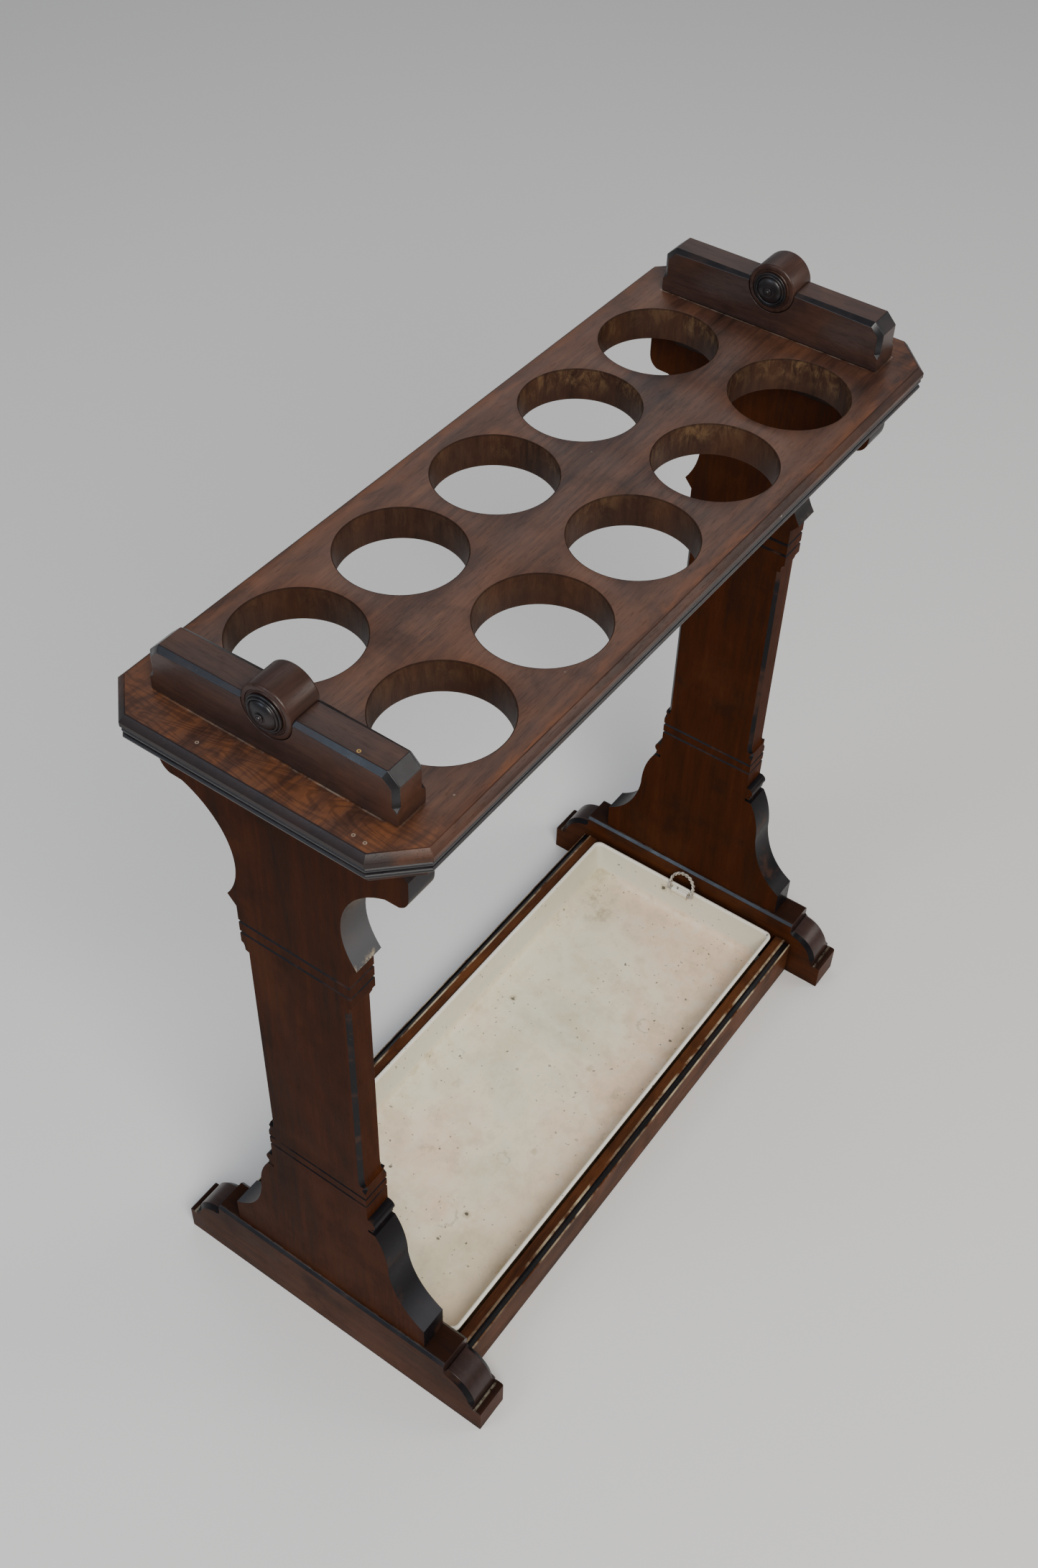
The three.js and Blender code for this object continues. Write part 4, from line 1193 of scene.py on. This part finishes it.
def make_roundel(name, side):
    node = f"crest_roundel_{name}"
    low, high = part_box(node)
    centre = (low + high) / 2
    half = (high.x - low.x) / 2 / MM
    bm = turned(roundel_profile(half), centre, 1, ROUNDEL_STEPS)
    piece(f"roundel_{name}", bm, [turned_walnut], node, sharp_degrees=40)
    for face, way in (("outer", side), ("inner", -side)):
        seat = (centre.x + way * half * MM, centre.y, centre.z)
        bm = turned(boss_profile(), seat, way, BOSS_STEPS)
        boss = f"roundel_boss_{name}_{face}"
        piece(f"boss_{name}_{face}", bm, [edge_black], boss, sharp_degrees=40)


for end, side in ENDS:
    make_roundel(end, side)
print("points in a boss:", len(boss_profile()))

# %% [markdown]
# ## Rails
# A rail is one section pulled from foot to foot. Along its top, a square hollow runs between a wide
# inner strip and a thin outer bead. The hollow is black and the strip is rubbed brown by the tray.

# %% Rails
RAIL_SECTION = (  # distance in from the outer face, depth below the top of the rail
    (0.0, 40.5), (0.0, 2.1), (0.4, 1.6), (1.1, 1.6), (1.4, 2.1), (2.0, 4.6), (5.2, 4.6),
    (6.0, 0.5), (6.5, 0.0), (15.6, 0.0), (16.0, 0.4), (16.0, 40.5),
)
HOLLOW_FROM, HOLLOW_TO, HOLLOW_DEPTH = 1.2, 6.1, 10
RAIL_GAP = 0.3


def make_rail(name, side):
    node = f"side_rail_{name}"
    low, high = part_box(node)
    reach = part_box("foot_right")[0].x - RAIL_GAP * MM
    outer = high.y if side > 0 else low.y
    lines = [(outer - side * inward * MM, high.z - down * MM) for inward, down in RAIL_SECTION]
    bm = extruded([(-reach, y, z) for y, z in lines], (2 * reach, 0, 0))
    bm.normal_update()
    for face in bm.faces:
        centre = face.calc_center_median()
        inward = abs(centre.y - outer) / MM
        hollow = HOLLOW_FROM < inward < HOLLOW_TO and abs(face.normal.x) < 0.5
        face.material_index = BLACK if hollow and centre.z > high.z - HOLLOW_DEPTH * MM else 0
    return piece(f"rail_{name}", bm, [rail_walnut, edge_black], node, soften=0.3 * MM)


for end, side in SIDES:
    print("rail", end, len(make_rail(end, side).data.polygons), "faces")

# %% [markdown]
# ## Drip tray
# The tray is sheet iron, folded up at the sides and rolled over a wire at the rim. Like the board's
# moulding, it is one profile carried round a rounded rectangle: up the inside from the floor, over
# the rim and down the outside. The fold at the floor is soft, which is what makes it look like sheet.

# %% Drip tray
TRAY_CORNER, SHARPEST_CORNER = 7.0, 2.5
CORNER_STEPS = 8
WALL_INSET, FLOOR_INSET = 3.6, 13.0
RIM_CENTRE, RIM_RADIUS = 1.75, 1.7


def rounded_ring(bm, half_x, half_y, radius, z):
    points = []
    for quarter, (sx, sy) in enumerate(((1, 1), (-1, 1), (-1, -1), (1, -1))):
        for i in range(CORNER_STEPS + 1):
            angle = (quarter + i / CORNER_STEPS) * math.pi / 2
            x = sx * (half_x - radius) + radius * math.cos(angle)
            y = sy * (half_y - radius) + radius * math.sin(angle)
            points.append((x, y, z))
    return loop(bm, points)


def tray_profile(depth):
    """(inset from the rim's outside, height above the underside), from the floor round to below."""
    wall, floor = WALL_INSET, FLOOR_INSET
    inside = [(floor + 16, 1.7), (floor + 7, 1.75), (floor + 3.4, 2.1), (floor + 0.6, 3.4)]
    inside += [(floor - 1.4, 6.0), (wall + 0.5, depth - 4.6)]
    rim = arc((RIM_CENTRE, depth - RIM_CENTRE), (-RIM_RADIUS, RIM_RADIUS), 180, -30, 7)
    outside = [(1.6, depth - 4.2), (wall - 1.1, depth - 6.5), (floor - 2.6, 4.6)]
    outside += [(floor - 0.9, 1.8), (floor + 1.6, 0.5), (floor + 6, 0.0)]
    return inside + rim + outside


def make_tray():
    low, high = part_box("drip_tray")
    bm = bmesh.new()
    rings = []
    for inset, z in tray_profile((high.z - low.z) / MM):
        radius = max(TRAY_CORNER - inset * 0.25, SHARPEST_CORNER) * MM
        half_x, half_y = high.x - inset * MM, high.y - inset * MM
        rings.append(rounded_ring(bm, half_x, half_y, radius, low.z + z * MM))
    skin(bm, rings)
    bmesh.ops.triangle_fill(bm, use_beauty=True, edges=rings[0], normal=(0, 0, 1))
    bmesh.ops.triangle_fill(bm, use_beauty=True, edges=rings[-1], normal=(0, 0, -1))
    return piece("tray", bm, [cream_paint], "drip_tray", sharp_degrees=60)


print("tray", len(make_tray().data.polygons), "faces")

# %% [markdown]
# ## Ring handles
# Each handle is two thin wires twisted together and bent to a D. The path of the D is followed by
# two strands that circle it half a turn apart, and each strand is a ring of points carried along.
# The straight side, which turns in the lug, is a single round bar.

# %% Ring handles
WIRE = 3.0
BOW_HALF, LEG = 12.4, 9.0
BOW_LENGTH = 2 * LEG + math.pi * BOW_HALF
STRAND, STRAND_SWING = 0.95, 0.85
TWIST_PITCH = 8.5
STRAND_STEPS, STRAND_SIDES, BAR_SIDES = 150, 8, 20


def bow_point(distance):
    """Place and direction at a distance along the bow, in its own flat plane (across, up)."""
    if distance < LEG:
        return Vector((BOW_HALF, distance)), Vector((0, 1))
    if distance < LEG + math.pi * BOW_HALF:
        angle = (distance - LEG) / BOW_HALF
        out = Vector((math.cos(angle), math.sin(angle)))
        return Vector((0, LEG)) + out * BOW_HALF, Vector((-out.y, out.x))
    return Vector((-BOW_HALF, BOW_LENGTH - distance)), Vector((0, -1))


def twist_strand(bm, pivot, up, phase):
    """One of the two strands, which starts at an angle of phase round the path."""
    across = Vector((0, 1, 0))
    out = across.cross(up)
    turns = [2 * math.pi * k / STRAND_SIDES for k in range(STRAND_SIDES)]
    rings = []
    for i in range(STRAND_STEPS + 1):
        distance = BOW_LENGTH * i / STRAND_STEPS
        flat, along = bow_point(distance)
        normal = (across * along.x + up * along.y).cross(out)
        turn = phase + 2 * math.pi * distance / TWIST_PITCH
        swing = normal * math.cos(turn) + out * math.sin(turn)
        centre = pivot + (across * flat.x + up * flat.y + swing * STRAND * STRAND_SWING) * MM
        rim = [centre + (normal * math.cos(a) + out * math.sin(a)) * STRAND * MM for a in turns]
        rings.append(loop(bm, rim))
    skin(bm, rings)
    for cap in (rings[0], rings[-1]):
        bmesh.ops.contextual_create(bm, geom=cap)


def make_ring(name, side):
    node = f"tray_ring_{name}"
    joint = next(j for j in frame["joints"] if j["name"] == f"{name}_ring_turn")
    pivot = Vector(joint["pos_m"])
    low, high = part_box(node)
    tip_x = high.x if side > 0 else low.x
    lean = math.asin((abs(tip_x - pivot.x) / MM - WIRE / 2) / (BOW_HALF + LEG))
    up = Vector((side * math.sin(lean), 0, math.cos(lean)))
    bm = bmesh.new()
    for phase in (0, math.pi):
        twist_strand(bm, pivot, up, phase)
    bar = Matrix.Translation(pivot) @ Matrix.Rotation(math.pi / 2, 4, "X")
    bmesh.ops.create_cone(
        bm, cap_ends=True, segments=BAR_SIDES, radius1=WIRE / 2 * MM, radius2=WIRE / 2 * MM,
        depth=(2 * BOW_HALF + WIRE) * MM, matrix=bar,
    )
    return piece(f"ring_{name}", bm, [ring_metal], node, sharp_degrees=50)


for end, side in ENDS:
    print("ring", end, len(make_ring(end, side).data.polygons), "faces")

# %% [markdown]
# ## The plain pieces
# The ledgers, slats, glue blocks, dowels and screws are hidden or seldom seen. Their CAD shapes are
# right as they are, so they keep them and only take a finish. The lugs are painted with the tray.

# %% Finishes for the pieces that stay as they are
PLAIN = {
    "tray_ledger": raw_deal, "tray_slat": raw_deal, "glue_block": shade_dark_deal,
    "foot_dowel": raw_deal, "board_dowel": raw_deal, "crest_screw": screw_steel,
    "tray_lug": cream_paint,
}


def dress_plain_pieces():
    dressed = 0
    for name, node in frame["nodes"].items():
        for prefix, finish in PLAIN.items():
            if name.startswith(prefix):
                node.data.materials.clear()
                node.data.materials.append(finish.material)
                dressed += 1
    return dressed


print("plain pieces:", dress_plain_pieces())

# %% [markdown]
# ## The end
# The finer pieces must fill the same space as the CAD model.

# %% Update the scene
bpy.context.view_layer.update()
